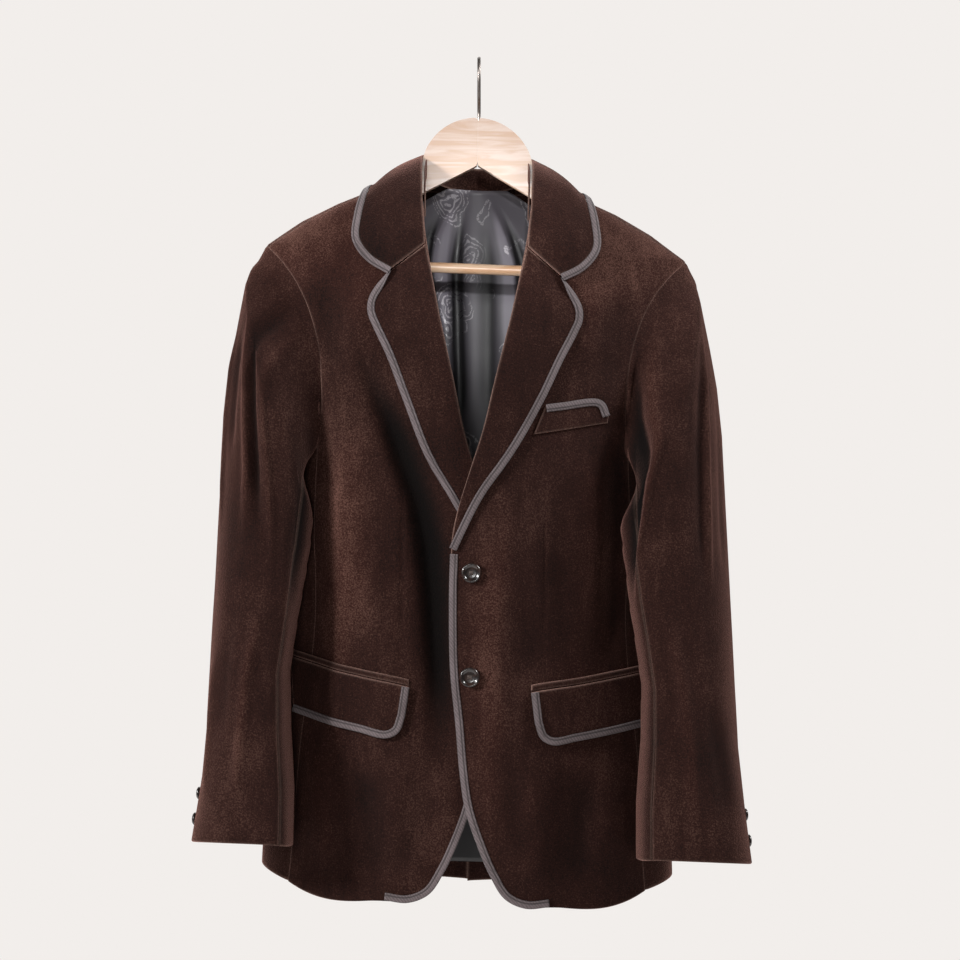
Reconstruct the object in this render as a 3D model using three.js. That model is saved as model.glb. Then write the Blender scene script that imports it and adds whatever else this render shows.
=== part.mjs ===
// A single-breasted velvet jacket with bound edges, hanging on a wooden hanger.
// Millimetres, +Z up, the fronts face -Y. The origin is the inside of the hook's top, where it bears
// on a rail. Every cloth piece is a thin closed wall: a grid of points on the garment's form, and the
// same points moved out by the cloth's thickness.
import * as THREE from "three";
import { mergeVertices } from "three/addons/utils/BufferGeometryUtils.js";

// Driving dimensions
const CLOTH = 2; // velvet with its fusing
const LINING = 1.2;
const BRAID = { width: 7, thick: 1.2 };
const SEAM = 0.4; // gap between two sewn pieces
const LAY = 0.8; // gap under a piece that lies on another
const LAP = { reach: 30, fade: 75, depth: 5.2 }; // how far the two fronts part where they cross
const DRIFT = 0.0145; // the whole garment hangs a little to one side
const DROP = 0.04; // and lower at its left shoulder
const BUTTON = { radius: 10.2, thick: 4.2, rows: [-540, -646] };
const CUFF_BUTTON = { radius: 6.6, thick: 3.4, rows: [-779, -805] };
const HOOK = { inner: 20, wire: 1.8, stemEnd: -65 };
const HANGER = { thick: 13, dome: 57, domeZ: -122.4, barRadius: 5.5, barZ: -222, armIn: 158 };

// The body's level sections: half width, and depth in front of and behind the shoulder line.
const BODY = [
  { z: -96, half: 58, front: 30, back: 60 },
  { z: -125, half: 76, front: 36, back: 63 },
  { z: -146, half: 111, front: 44, back: 67 },
  { z: -161, half: 147, front: 52, back: 70 },
  { z: -181, half: 184, front: 60, back: 74 },
  { z: -208, half: 222, front: 69, back: 78 },
  { z: -250, half: 226, front: 79, back: 84 },
  { z: -300, half: 224, front: 88, back: 87 },
  { z: -350, half: 218, front: 94, back: 88 },
  { z: -430, half: 207, front: 99, back: 85 },
  { z: -560, half: 200, front: 97, back: 77 },
  { z: -650, half: 204, front: 95, back: 79 },
  { z: -750, half: 211, front: 94, back: 84 },
  { z: -890, half: 217, front: 91, back: 87 },
];

// A front panel's rows from hem to shoulder: where each starts at the front edge or the roll line,
// and where it ends at the side seam, the armhole or the shoulder tip.
const FRONT = [
  { inX: 84, inZ: -879, outX: 185, outZ: -866 },
  { inX: 60, inZ: -880.5, outX: 183, outZ: -845 },
  { inX: 39, inZ: -871, outX: 181, outZ: -818 },
  { inX: 24, inZ: -848, outX: 179, outZ: -788 },
  { inX: 11.5, inZ: -820, outX: 177, outZ: -756 },
  { inX: -2, inZ: -781, outX: 174, outZ: -718 },
  { inX: -8, inZ: -745, outX: 169, outZ: -680 },
  { inX: -13, inZ: -695, outX: 164, outZ: -640 },
  { inX: -19, inZ: -642, outX: 160.5, outZ: -598 },
  { inX: -21, inZ: -590, outX: 160.5, outZ: -555 },
  { inX: -21, inZ: -535, outX: 163, outZ: -508 },
  { inX: -19, inZ: -497, outX: 162, outZ: -460 },
  { inX: -4, inZ: -440, outX: 160, outZ: -415 },
  { inX: 9.6, inZ: -395, outX: 157, outZ: -375 },
  { inX: 19, inZ: -352, outX: 159, outZ: -335 },
  { inX: 32.6, inZ: -295, outX: 165, outZ: -300 },
  { inX: 40, inZ: -260, outX: 174, outZ: -272 },
  { inX: 46, inZ: -230, outX: 185, outZ: -250 },
  { inX: 53, inZ: -190, outX: 196, outZ: -234 },
  { inX: 58, inZ: -150, outX: 206, outZ: -222 },
  { inX: 71, inZ: -127, outX: 217, outZ: -211 },
];
const HEM_SLIP = 5; // how much lower the right side's hem is cut than the left's
const HEM_SAG = 9; // the hem is lowest between the front corner and the side
const SHOULDER_RISE = 6;

// A back panel's rows from hem to shoulder, as turns round the body in degrees: 180 is the centre back
// and 90 the top of the shoulder. The centre seam ends in the neckline, and the far side runs up the
// side seam and the armhole, over the shoulder to the seam on the front.
const BACK = [
  { midTurn: 180, midZ: -884, outTurn: 136, outZ: -872 },
  { midTurn: 180, midZ: -800, outTurn: 136, outZ: -790 },
  { midTurn: 180, midZ: -700, outTurn: 135, outZ: -695 },
  { midTurn: 180, midZ: -600, outTurn: 135, outZ: -597 },
  { midTurn: 180, midZ: -500, outTurn: 133.5, outZ: -500 },
  { midTurn: 180, midZ: -420, outTurn: 130.5, outZ: -425 },
  { midTurn: 180, midZ: -350, outTurn: 126.5, outZ: -378 },
  { midTurn: 180, midZ: -280, outTurn: 125, outZ: -330 },
  { midTurn: 180, midZ: -210, outTurn: 123.5, outZ: -285 },
  { midTurn: 180, midZ: -160, outTurn: 118, outZ: -245 },
  { midTurn: 172, midZ: -138, outTurn: 110, outZ: -222 },
  { midTurn: 140, midZ: -134, outTurn: 100, outZ: -210 },
  { midTurn: 100, midZ: -126, outTurn: 89, outZ: -206 },
  { midTurn: 64.5, midZ: -127, outTurn: 77, outZ: -211 },
];
const SHOULDER_TIP = -206;

// Lapel: roll line and outer edge, gorge to break.
const LAPEL = [
  { rollX: 52, rollZ: -208, edgeX: 87, edgeZ: -237 },
  { rollX: 49, rollZ: -220, edgeX: 101, edgeZ: -251 },
  { rollX: 45.5, rollZ: -234, edgeX: 108.5, edgeZ: -265 },
  { rollX: 41.5, rollZ: -253, edgeX: 109, edgeZ: -278 },
  { rollX: 37, rollZ: -275, edgeX: 103, edgeZ: -293 },
  { rollX: 31, rollZ: -301, edgeX: 90, edgeZ: -319 },
  { rollX: 22, rollZ: -339, edgeX: 72, edgeZ: -361 },
  { rollX: 9.6, rollZ: -395, edgeX: 44, edgeZ: -420 },
  { rollX: -3, rollZ: -437, edgeX: 17, edgeZ: -462 },
  { rollX: -13, rollZ: -472, edgeX: -1, edgeZ: -495 },
  { rollX: -20, rollZ: -508, edgeX: -13, edgeZ: -518 },
];
const LAPEL_BELLY = 5; // how far the rolled lapel stands off the chest

// Collar, from the notch to the centre of the back: the fold along its top and its outer edge.
const COLLAR = [
  { foldX: 53, foldY: -76, foldZ: -204, edgeX: 87, edgeY: -77, edgeZ: -232 },
  { foldX: 54, foldY: -70, foldZ: -186, edgeX: 108, edgeY: -73, edgeZ: -220 },
  { foldX: 56, foldY: -60, foldZ: -164, edgeX: 121, edgeY: -66, edgeZ: -202 },
  { foldX: 57, foldY: -44, foldZ: -140, edgeX: 120, edgeY: -55, edgeZ: -177 },
  { foldX: 58, foldY: -24, foldZ: -119, edgeX: 115, edgeY: -37, edgeZ: -153 },
  { foldX: 57, foldY: -3, foldZ: -106, edgeX: 110, edgeY: -3, edgeZ: -140 },
  { foldX: 54, foldY: 20, foldZ: -102, edgeX: 99, edgeY: 42, edgeZ: -148 },
  { foldX: 42, foldY: 46, foldZ: -104, edgeX: 72, edgeY: 70, edgeZ: -160 },
  { foldX: 22, foldY: 62, foldZ: -106, edgeX: 37, edgeY: 80, edgeZ: -163 },
  { foldX: 0, foldY: 67, foldZ: -107, edgeX: 0, edgeY: 83, edgeZ: -165 },
];

// Sleeve sections: inner and outer side, front and back.
const SLEEVE = [
  { z: -200, inX: 196, outX: 221, frontY: -24, backY: 26 },
  { z: -228, inX: 184, outX: 231, frontY: -50, backY: 46 },
  { z: -250, inX: 176, outX: 236.5, frontY: -62, backY: 54 },
  { z: -300, inX: 162, outX: 246.5, frontY: -80, backY: 62 },
  { z: -340, inX: 157, outX: 254, frontY: -90, backY: 64 },
  { z: -390, inX: 156, outX: 260, frontY: -98, backY: 62 },
  { z: -440, inX: 157, outX: 263, frontY: -103, backY: 56 },
  { z: -520, inX: 166, outX: 267, frontY: -110, backY: 42 },
  { z: -600, inX: 180, outX: 271, frontY: -117, backY: 26 },
  { z: -650, inX: 187, outX: 273, frontY: -121, backY: 14 },
  { z: -710, inX: 185, outX: 276, frontY: -126, backY: -2 },
  { z: -770, inX: 180, outX: 283, frontY: -131, backY: -20 },
  { z: -832, inX: 179, outX: 291, frontY: -136, backY: -40 },
];
const SLEEVE_CORNER = { frontInner: 0.55, other: 0.9 };
const SLEEVE_CLEAR = 9; // mid wall of the sleeve to the body
const CUFF_Z = -820; // at the front of the wrist
const CUFF_SLANT = 14; // how much lower the cuff is behind
// The sleeves hang unevenly, by height: how much further in the left one's inner side lies, and how
// much further out the right one's outer side.
const HANG = [
  { z: -200, leftIn: 0, rightOut: 2 },
  { z: -250, leftIn: 0, rightOut: 6 },
  { z: -300, leftIn: 1, rightOut: 4 },
  { z: -400, leftIn: 3, rightOut: 0 },
  { z: -480, leftIn: 9, rightOut: -2 },
  { z: -560, leftIn: 11, rightOut: -4 },
  { z: -640, leftIn: 9, rightOut: -5 },
  { z: -700, leftIn: 7, rightOut: -6 },
  { z: -760, leftIn: 6, rightOut: -9 },
  { z: -834, leftIn: 5, rightOut: -9 },
];

const MATERIALS = {
  velvet: { color: 0x3a2721, roughness: 0.9 },
  braid: { color: 0x5d595b, roughness: 0.8 },
  lining: { color: 0x5b5862, roughness: 0.4 },
  button: { color: 0x2b1d18, roughness: 0.25 },
  wood: { color: 0xf2dcc8, roughness: 0.5 },
  metal: { color: 0xb9bcc0, roughness: 0.2, metalness: 1 },
};

const jacket = new THREE.Group();

// A column of a table at height z, between its rows.
function column(table, name, z) {
  const last = table.length - 1;
  let i = 0;
  while (i < last - 1 && z < table[i + 1].z) i += 1;
  const share = (z - table[i].z) / (table[i + 1].z - table[i].z);
  return THREE.MathUtils.lerp(table[i][name], table[i + 1][name], THREE.MathUtils.clamp(share, 0, 1));
}

// Points of a table, with two or three of its columns as x, y, z, on a smooth curve.
function curveOf(table, names) {
  const points = table.map((row) => new THREE.Vector3(...names.map((name) => (name ? row[name] : 0))));
  return new THREE.CatmullRomCurve3(points, false, "centripetal");
}

// The hang: everything shifts sideways with depth below the rail, and drops towards the left shoulder.
function settle(p) {
  return new THREE.Vector3(p.x + DRIFT * p.z, p.y, p.z - DROP * p.x);
}

// The body's surface at a level, from the angle round it: 0 at the centre front, a quarter turn at the
// side and a half turn at the centre back.
function bodyPoint(side, angle, z) {
  const half = column(BODY, "half", z);
  const depth = Math.cos(angle) > 0 ? column(BODY, "front", z) : column(BODY, "back", z);
  return new THREE.Vector3(side * half * Math.sin(angle), -depth * Math.cos(angle), z);
}

function angleAt(x, z, behind = false) {
  const share = THREE.MathUtils.clamp(x / column(BODY, "half", z), -1, 1);
  return behind ? Math.PI - Math.asin(share) : Math.asin(share);
}

// The two fronts part where they cross: the left one goes out and the right one in.
function lapOffset(side, x) {
  const near = 1 - THREE.MathUtils.smoothstep(Math.abs(x), LAP.reach, LAP.reach + LAP.fade);
  return side * LAP.depth * near;
}

// A point of a front panel, given as it lies on the left front.
function frontPoint(side, x, z) {
  const p = bodyPoint(side, angleAt(x, z), z);
  p.y -= lapOffset(side, p.x);
  return p;
}

// The outward normal of a front at a point of it.
function frontNormal(side, x, z) {
  const across = frontPoint(side, x + 1, z).sub(frontPoint(side, x - 1, z));
  const up = frontPoint(side, x, z + 1).sub(frontPoint(side, x, z - 1));
  return across.cross(up).normalize().multiplyScalar(side);
}

const frontNormals = (side, rows) => rows.map((row) => row.map((p) => frontNormal(side, side * p.x, p.z)));

// Normals of a grid of points, turned away from the line that axis gives at each height.
function normalsOf(rows, axis) {
  const at = (i, j) =>
    rows[THREE.MathUtils.clamp(i, 0, rows.length - 1)][THREE.MathUtils.clamp(j, 0, rows[0].length - 1)];
  let facing = 0;
  const normals = rows.map((row, i) =>
    row.map((p, j) => {
      const down = at(i + 1, j).clone().sub(at(i - 1, j));
      const across = at(i, j + 1).clone().sub(at(i, j - 1));
      const n = down.cross(across).normalize();
      facing += n.dot(p.clone().sub(axis(p)));
      return n;
    }),
  );
  if (facing < 0) normals.flat().forEach((n) => n.negate());
  return normals;
}

const bodyAxis = (p) => new THREE.Vector3(0, 0, p.z);

function moved(rows, normals, distance) {
  return rows.map((row, i) => row.map((p, j) => p.clone().addScaledVector(normals[i][j], distance)));
}

// A closed wall between two grids of the same size.
function wallGeometry(inner, outer) {
  const down = inner.length;
  const across = inner[0].length;
  const points = [...inner.flat(), ...outer.flat()].map(settle);
  const at = (layer, i, j) => layer * down * across + i * across + j;
  const faces = [];
  const quad = (a, b, c, d) => faces.push(a, b, c, a, c, d);
  for (let i = 0; i < down - 1; i += 1)
    for (let j = 0; j < across - 1; j += 1) {
      quad(at(0, i, j), at(0, i, j + 1), at(0, i + 1, j + 1), at(0, i + 1, j));
      quad(at(1, i, j), at(1, i + 1, j), at(1, i + 1, j + 1), at(1, i, j + 1));
    }
  for (let i = 0; i < down - 1; i += 1) {
    quad(at(0, i, 0), at(0, i + 1, 0), at(1, i + 1, 0), at(1, i, 0));
    quad(at(0, i, across - 1), at(1, i, across - 1), at(1, i + 1, across - 1), at(0, i + 1, across - 1));
  }
  for (let j = 0; j < across - 1; j += 1) {
    quad(at(0, 0, j), at(1, 0, j), at(1, 0, j + 1), at(0, 0, j + 1));
    quad(at(0, down - 1, j), at(0, down - 1, j + 1), at(1, down - 1, j + 1), at(1, down - 1, j));
  }
  const geometry = new THREE.BufferGeometry().setFromPoints(points).setIndex(faces);
  return facingOut(geometry);
}

// Turns a closed geometry's faces outwards.
function facingOut(geometry) {
  const position = geometry.attributes.position;
  const index = geometry.index.array;
  const [a, b, c] = [0, 0, 0].map(() => new THREE.Vector3());
  let volume = 0;
  for (let i = 0; i < index.length; i += 3) {
    a.fromBufferAttribute(position, index[i]);
    b.fromBufferAttribute(position, index[i + 1]);
    c.fromBufferAttribute(position, index[i + 2]);
    volume += a.dot(b.cross(c));
  }
  if (volume < 0) index.forEach((v, i) => { if (i % 3 === 1) [index[i], index[i + 1]] = [index[i + 1], v]; });
  geometry.computeVertexNormals();
  return geometry;
}

function add(name, geometry, material) {
  const mesh = new THREE.Mesh(geometry, new THREE.MeshStandardMaterial(MATERIALS[material]));
  mesh.name = name;
  jacket.add(mesh);
}

// A cloth piece on a grid of points, lifted off what is under it.
function cloth(name, rows, { thick = CLOTH, lift = 0, material = "velvet", axis = bodyAxis, facing } = {}) {
  const normals = facing ?? normalsOf(rows, axis);
  add(name, wallGeometry(moved(rows, normals, lift), moved(rows, normals, lift + thick)), material);
}

// A grid of so many rows and columns from a function of two shares.
function grid(down, across, pointAt) {
  return Array.from({ length: down + 1 }, (_, i) =>
    Array.from({ length: across + 1 }, (_, j) => pointAt(i / down, j / across)),
  );
}

// A strip of braid sewn along a line of a front, or of what lies on it by so much.
function frontBraid(name, side, line, inward, lift) {
  const rows = line.map(({ x, z, rise = 0 }, i) => {
    const next = line[Math.min(i + 1, line.length - 1)];
    const last = line[Math.max(i - 1, 0)];
    const run = Math.hypot(next.x - last.x, next.z - last.z);
    const [dx, dz] = [((last.z - next.z) / run) * inward, ((next.x - last.x) / run) * inward];
    return [-0.3, BRAID.width].map((across) => {
      const at = [x + dx * across, z + dz * across];
      const p = frontPoint(side, ...at).addScaledVector(frontNormal(side, ...at), lift + rise);
      return { p, n: frontNormal(side, ...at) };
    });
  });
  const low = rows.map((row) => row.map(({ p }) => p));
  const high = rows.map((row) => row.map(({ p, n }) => p.clone().addScaledVector(n, BRAID.thick)));
  add(name, wallGeometry(low, high), "braid");
}

// A strip of braid on a wall's outer face, along a line of its points: across its width it follows
// the direction that the wall's normal and the line give, and it wraps a little past the edge.
function braid(name, line, normals, inward, lift, past = 0.3) {
  const rows = line.map((p, i) => {
    const next = line[Math.min(i + 1, line.length - 1)];
    const last = line[Math.max(i - 1, 0)];
    const across = next.clone().sub(last).cross(normals[i]).normalize().multiplyScalar(inward);
    return [0, 1].map((share) =>
      p.clone().addScaledVector(across, share * (BRAID.width + past) - past).addScaledVector(normals[i], lift),
    );
  });
  const shifted = rows.map((row, i) => row.map((p) => p.clone().addScaledVector(normals[i], BRAID.thick)));
  add(name, wallGeometry(rows, shifted), "braid");
}

const SIDES = [
  { side: 1, word: "left" },
  { side: -1, word: "right" },
];

// Fronts
const frontIn = curveOf(FRONT, ["inX", null, "inZ"]);
const frontOut = curveOf(FRONT, ["outX", null, "outZ"]);

function frontGrid(side, down = 34, across = 11) {
  return grid(down, across, (t, u) => {
    const a = frontIn.getPoint(t);
    const b = frontOut.getPoint(t);
    const bow = Math.sin(Math.PI * u);
    const low = (HEM_SAG * bow + (side < 0 ? HEM_SLIP * u : 0)) * Math.max(0, 1 - t * 6);
    const high = SHOULDER_RISE * bow * Math.max(0, t * 6 - 5);
    const z = THREE.MathUtils.lerp(a.z, b.z, u) - low + high;
    const from = angleAt(a.x, a.z);
    const to = angleAt(b.x, b.z);
    const angle = THREE.MathUtils.lerp(from, to, u);
    const p = bodyPoint(side, angle, z);
    p.y -= lapOffset(side, p.x);
    return p;
  });
}

function fronts() {
  for (const { side, word } of SIDES) {
    const rows = frontGrid(side);
    cloth("front_" + word, rows, { facing: frontNormals(side, rows) });
    const line = rows.map((row) => ({ x: side * row[0].x, z: row[0].z })).filter(({ z }) => z < -522);
    frontBraid("front_braid_" + word, side, line, -1, CLOTH + LAY);
  }
}

// The bottom of the armhole, from the front seam to the back seam
function underarmZ(u) {
  return THREE.MathUtils.lerp(-414, -424, u) - 18 * Math.sin(Math.PI * u);
}

// Side panels, from the seam on the front to the seam on the back
function sides() {
  for (const { side, word } of SIDES) {
    const rows = grid(14, 6, (t, u) => {
      const top = underarmZ(u) - 3.6;
      const low = THREE.MathUtils.lerp(-866, -872, u) + 14 * Math.sin(Math.PI * u) - (side < 0 ? HEM_SLIP : 0);
      const z = THREE.MathUtils.lerp(low, top, t);
      const from = angleAt(frontSeamX(z) + SEAM + 0.4, z);
      const to = backSeamAngle(z);
      return bodyPoint(side, THREE.MathUtils.lerp(from, to, u), z);
    });
    cloth("side_" + word, rows);
  }
}

function frontSeamX(z) {
  return column(FRONT.map((row) => ({ z: row.outZ, x: row.outX })).reverse(), "x", z);
}

function backSeamAngle(z) {
  const turn = column(BACK.map((row) => ({ z: row.outZ, turn: row.outTurn })).reverse(), "turn", z);
  return THREE.MathUtils.degToRad(turn - 0.4);
}

// Back: two panels that meet at the centre seam
const backMid = curveOf(BACK, ["midTurn", null, "midZ"]);
const backOut = curveOf(BACK, ["outTurn", null, "outZ"]);

function backGrid(side, down = 26, across = 8) {
  return grid(down, across, (t, u) => {
    const a = backMid.getPoint(t);
    const b = backOut.getPoint(t);
    const high = SHOULDER_RISE * Math.sin(Math.PI * u) * Math.max(0, t * 6 - 5);
    const low = side < 0 ? HEM_SLIP * u * Math.max(0, 1 - t * 6) : 0;
    const z = THREE.MathUtils.lerp(a.z, b.z, u) + high - low;
    const seamGap = (3 - 1.8 * u) * Math.max(0, t * 10 - 9);
    const angle = THREE.MathUtils.degToRad(THREE.MathUtils.lerp(Math.min(a.x, 179.8), b.x, u) + seamGap);
    return bodyPoint(side, angle, z);
  });
}

function backs() {
  for (const { side, word } of SIDES) cloth("back_" + word, backGrid(side));
}

fronts();
sides();
backs();

// Lapels: they turn back from the roll line and lie on the fronts
const lapelRoll = curveOf(LAPEL, ["rollX", null, "rollZ"]);
const lapelEdge = curveOf(LAPEL, ["edgeX", null, "edgeZ"]);
const LAPEL_LIFT = CLOTH + LAY + 0.6;
const GORGE_REACH = 0.14; // the share of a lapel that rises to meet the collar

function lapelGrid(side, down = 22, across = 6) {
  return grid(down, across, (t, u) => {
    const a = lapelRoll.getPoint(t);
    const b = lapelEdge.getPoint(t);
    const p = frontPoint(side, THREE.MathUtils.lerp(a.x, b.x, u), THREE.MathUtils.lerp(a.z, b.z, u));
    const width = Math.min(1, a.distanceTo(b) / 60);
    p.y -= LAPEL_LIFT + LAPEL_BELLY * width * Math.sin(Math.PI * Math.min(1, 0.25 + 0.75 * u)) * (1 - 0.6 * u);
    const near = Math.max(0, 1 - t / GORGE_REACH) ** 2 * (1 - u * u);
    const gorge = THREE.MathUtils.lerp(COLLAR[0].foldY, COLLAR[0].edgeY, u) - lapOffset(side, p.x);
    p.y = THREE.MathUtils.lerp(p.y, Math.min(p.y, gorge), near);
    return p;
  });
}

function lapels() {
  for (const { side, word } of SIDES) {
    const rows = lapelGrid(side);
    cloth("lapel_" + word, rows);
    const normals = normalsOf(rows, bodyAxis);
    const last = rows[0].length - 1;
    const line = [...rows[0].slice(last - 1, last), ...rows.map((row) => row[last])].slice(1);
    braid("lapel_braid_" + word, line, normals.map((row) => row[last]), side, CLOTH + LAY);
  }
}

// Collar: the fall folds over the stand
const collarHalf = curveOf(COLLAR, ["foldX", "foldY", "foldZ"]);
const collarEdgeHalf = curveOf(COLLAR, ["edgeX", "edgeY", "edgeZ"]);

function collarRow(curve, t) {
  const half = t < 0.5 ? 2 * t : 2 - 2 * t;
  const side = t < 0.5 ? 1 : -1;
  const p = curve.getPoint(half);
  p.y -= lapOffset(side, p.x) * Math.max(0, 1 - 3 * half);
  return p.setX(side * p.x);
}

function collarGrid(down = 40, across = 4) {
  return grid(down, across, (t, u) => {
    const fold = collarRow(collarHalf, t);
    const edge = collarRow(collarEdgeHalf, t);
    const p = fold.clone().lerp(edge, u);
    const away = new THREE.Vector3(p.x, p.y, 0).normalize();
    const belly = 5 * Math.sin(Math.PI * Math.min(1, u * 1.1));
    return p.addScaledVector(away, belly * 0.6).setZ(p.z + belly * 0.6);
  });
}

const collarAxis = (p) => new THREE.Vector3(0, 0, p.z - 60);

function collar() {
  const rows = collarGrid();
  cloth("collar_fall", rows, { axis: collarAxis });
  const normals = normalsOf(rows, collarAxis);
  const last = rows[0].length - 1;
  braid("collar_braid", rows.map((row) => row[last]), normals.map((row) => row[last]), 1, CLOTH + LAY);
  const stand = grid(32, 2, (t, u) => {
    const fold = collarRow(collarHalf, 0.11 + 0.78 * t);
    const inset = 1 - 2.4 / Math.hypot(fold.x, fold.y);
    const low = 26 * Math.sin(Math.PI * Math.min(1, 0.12 + 0.76 * t));
    return new THREE.Vector3(fold.x * inset, fold.y * inset, fold.z - 1 - low * u);
  });
  cloth("collar_stand", stand, { thick: 1.6, lift: -1.6, axis: collarAxis });
}

// Sleeves: two pieces each, from the armhole to the cuff
const ARMHOLE_FRONT = FRONT.filter((row) => row.outZ > -420);
const ARMHOLE_BACK = BACK.filter((row) => row.outZ > -430 && row.outTurn > 90);

function armholeLoop() {
  const front = ARMHOLE_FRONT.map((row) => bodyPoint(1, angleAt(row.outX, row.outZ), row.outZ)).reverse();
  const back = ARMHOLE_BACK.map((row) => bodyPoint(1, THREE.MathUtils.degToRad(row.outTurn), row.outZ));
  const tip = new THREE.Vector3(223, 0, SHOULDER_TIP);
  const under = [0.12, 0.25, 0.375, 0.5, 0.625, 0.75, 0.88].map((u) => {
    const z = underarmZ(u);
    return bodyPoint(1, THREE.MathUtils.lerp(angleAt(160, z), angleAt(158, z, true), u), z);
  });
  return {
    front: new THREE.CatmullRomCurve3([tip, ...front, ...under.slice(0, 4)], false, "centripetal"),
    back: new THREE.CatmullRomCurve3([...under.slice(3), ...back, tip], false, "centripetal"),
  };
}

const armhole = armholeLoop();

// A sleeve's section at a level, by the angle round it from the outer side through the front.
function sleeveSection(side, angle, z) {
  const inX = column(SLEEVE, "inX", z) - (side > 0 ? column(HANG, "leftIn", z) : 0);
  const outX = column(SLEEVE, "outX", z) + (side < 0 ? column(HANG, "rightOut", z) : 0);
  const frontY = column(SLEEVE, "frontY", z);
  const backY = column(SLEEVE, "backY", z);
  return new THREE.Vector3(
    (inX + outX) / 2 + ((outX - inX) / 2) * squared(Math.cos(angle), angle),
    (frontY + backY) / 2 + ((frontY - backY) / 2) * squared(Math.sin(angle), angle),
    z,
  );
}

// How near an angle round a sleeve is to its inner front corner, from 0 to 1.
function frontInner(angle) {
  return 2 * Math.max(0, Math.sin(angle)) * Math.max(0, -Math.cos(angle));
}

// Fills out an oval's corners: a hanging sleeve is flat, with a fold down its inner front.
function squared(share, angle) {
  const corner = THREE.MathUtils.lerp(SLEEVE_CORNER.other, SLEEVE_CORNER.frontInner, frontInner(angle));
  return Math.sign(share) * Math.abs(share) ** corner;
}

// Moves a point out, level, until it is clear of the body by so much.
function clearOfBody(p, clear) {
  const half = column(BODY, "half", p.z) + clear;
  const depth = column(BODY, p.y < 0 ? "front" : "back", p.z) + clear;
  const inside = Math.hypot(p.x / half, p.y / depth);
  return inside < 1 ? new THREE.Vector3(p.x / inside, p.y / inside, p.z) : p;
}

function sleevePoint(side, around, t) {
  const angle = 2 * Math.PI * around;
  const start = around < 0.5 ? armhole.front.getPoint(2 * around) : armhole.back.getPoint(2 * around - 1);
  const hole = new THREE.Vector3(206, 0, THREE.MathUtils.lerp(start.z, -330, 0.5));
  const out = new THREE.Vector3(start.x / column(BODY, "half", start.z) ** 2, start.y / 95 ** 2, 0).normalize();
  const under = (1 - Math.cos(angle)) / 2;
  start.addScaledVector(hole.sub(start).normalize(), 1.3).addScaledVector(out, 1.4 + 2.6 * under);
  const cuff = CUFF_Z - (CUFF_SLANT * (1 - Math.sin(angle))) / 2;
  const z = THREE.MathUtils.lerp(start.z, cuff, t);
  const p = sleeveSection(side, angle, z);
  const blend = THREE.MathUtils.smoothstep(t, 0, 0.13 - 0.09 * Math.cos(angle) - 0.07 * frontInner(angle));
  const mixed = start.setZ(z).lerp(p, blend);
  const clear = clearOfBody(mixed, THREE.MathUtils.lerp(1.4 + 4.6 * under, SLEEVE_CLEAR, blend));
  return clear.setX(side * clear.x);
}

function sleeves() {
  const pieces = [
    { word: "top", from: -0.115, to: 0.36, across: 10 },
    { word: "under", from: 0.364, to: 0.881, across: 8 },
  ];
  for (const { side, word } of SIDES)
    for (const piece of pieces) {
      const rows = grid(22, piece.across, (t, u) => {
        const around = THREE.MathUtils.lerp(piece.from, piece.to, u);
        return sleevePoint(side, (around + 1) % 1, t);
      });
      const axis = (p) => new THREE.Vector3(
        side * (column(SLEEVE, "inX", p.z) + column(SLEEVE, "outX", p.z)) / 2,
        (column(SLEEVE, "frontY", p.z) + column(SLEEVE, "backY", p.z)) / 2,
        p.z,
      );
      cloth("sleeve_" + piece.word + "_" + word, rows, { axis, lift: -CLOTH / 2 });
    }
}

// Pockets: a jet and a flap on each front, and a welt on the left chest
const FLAP = [
  { topX: 62, topZ: -660, lowX: 66, lowZ: -690 },
  { topX: 72, topZ: -658, lowX: 72, lowZ: -706 },
  { topX: 84, topZ: -656, lowX: 84, lowZ: -712.5 },
  { topX: 110, topZ: -652, lowX: 110, lowZ: -708 },
  { topX: 145, topZ: -645, lowX: 145, lowZ: -701 },
  { topX: 184, topZ: -637, lowX: 180, lowZ: -693 },
];
const WELT = [
  { topX: 72.5, topZ: -367, lowX: 61, lowZ: -397 },
  { topX: 90, topZ: -364, lowX: 82, lowZ: -393 },
  { topX: 124, topZ: -358.5, lowX: 112, lowZ: -387 },
  { topX: 132, topZ: -362, lowX: 126, lowZ: -384 },
  { topX: 137.5, topZ: -374, lowX: 136.5, lowZ: -382 },
];

// A grid of points on a front between two lines of a table.
function patchGrid(table, side, down, across) {
  const top = curveOf(table, ["topX", null, "topZ"]);
  const low = curveOf(table, ["lowX", null, "lowZ"]);
  return grid(across, down, (t, u) => {
    const a = top.getPoint(t);
    const b = low.getPoint(t);
    const x = THREE.MathUtils.lerp(a.x, b.x, u);
    const z = THREE.MathUtils.lerp(a.z, b.z, u);
    return frontPoint(side, x, z);
  });
}

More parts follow.
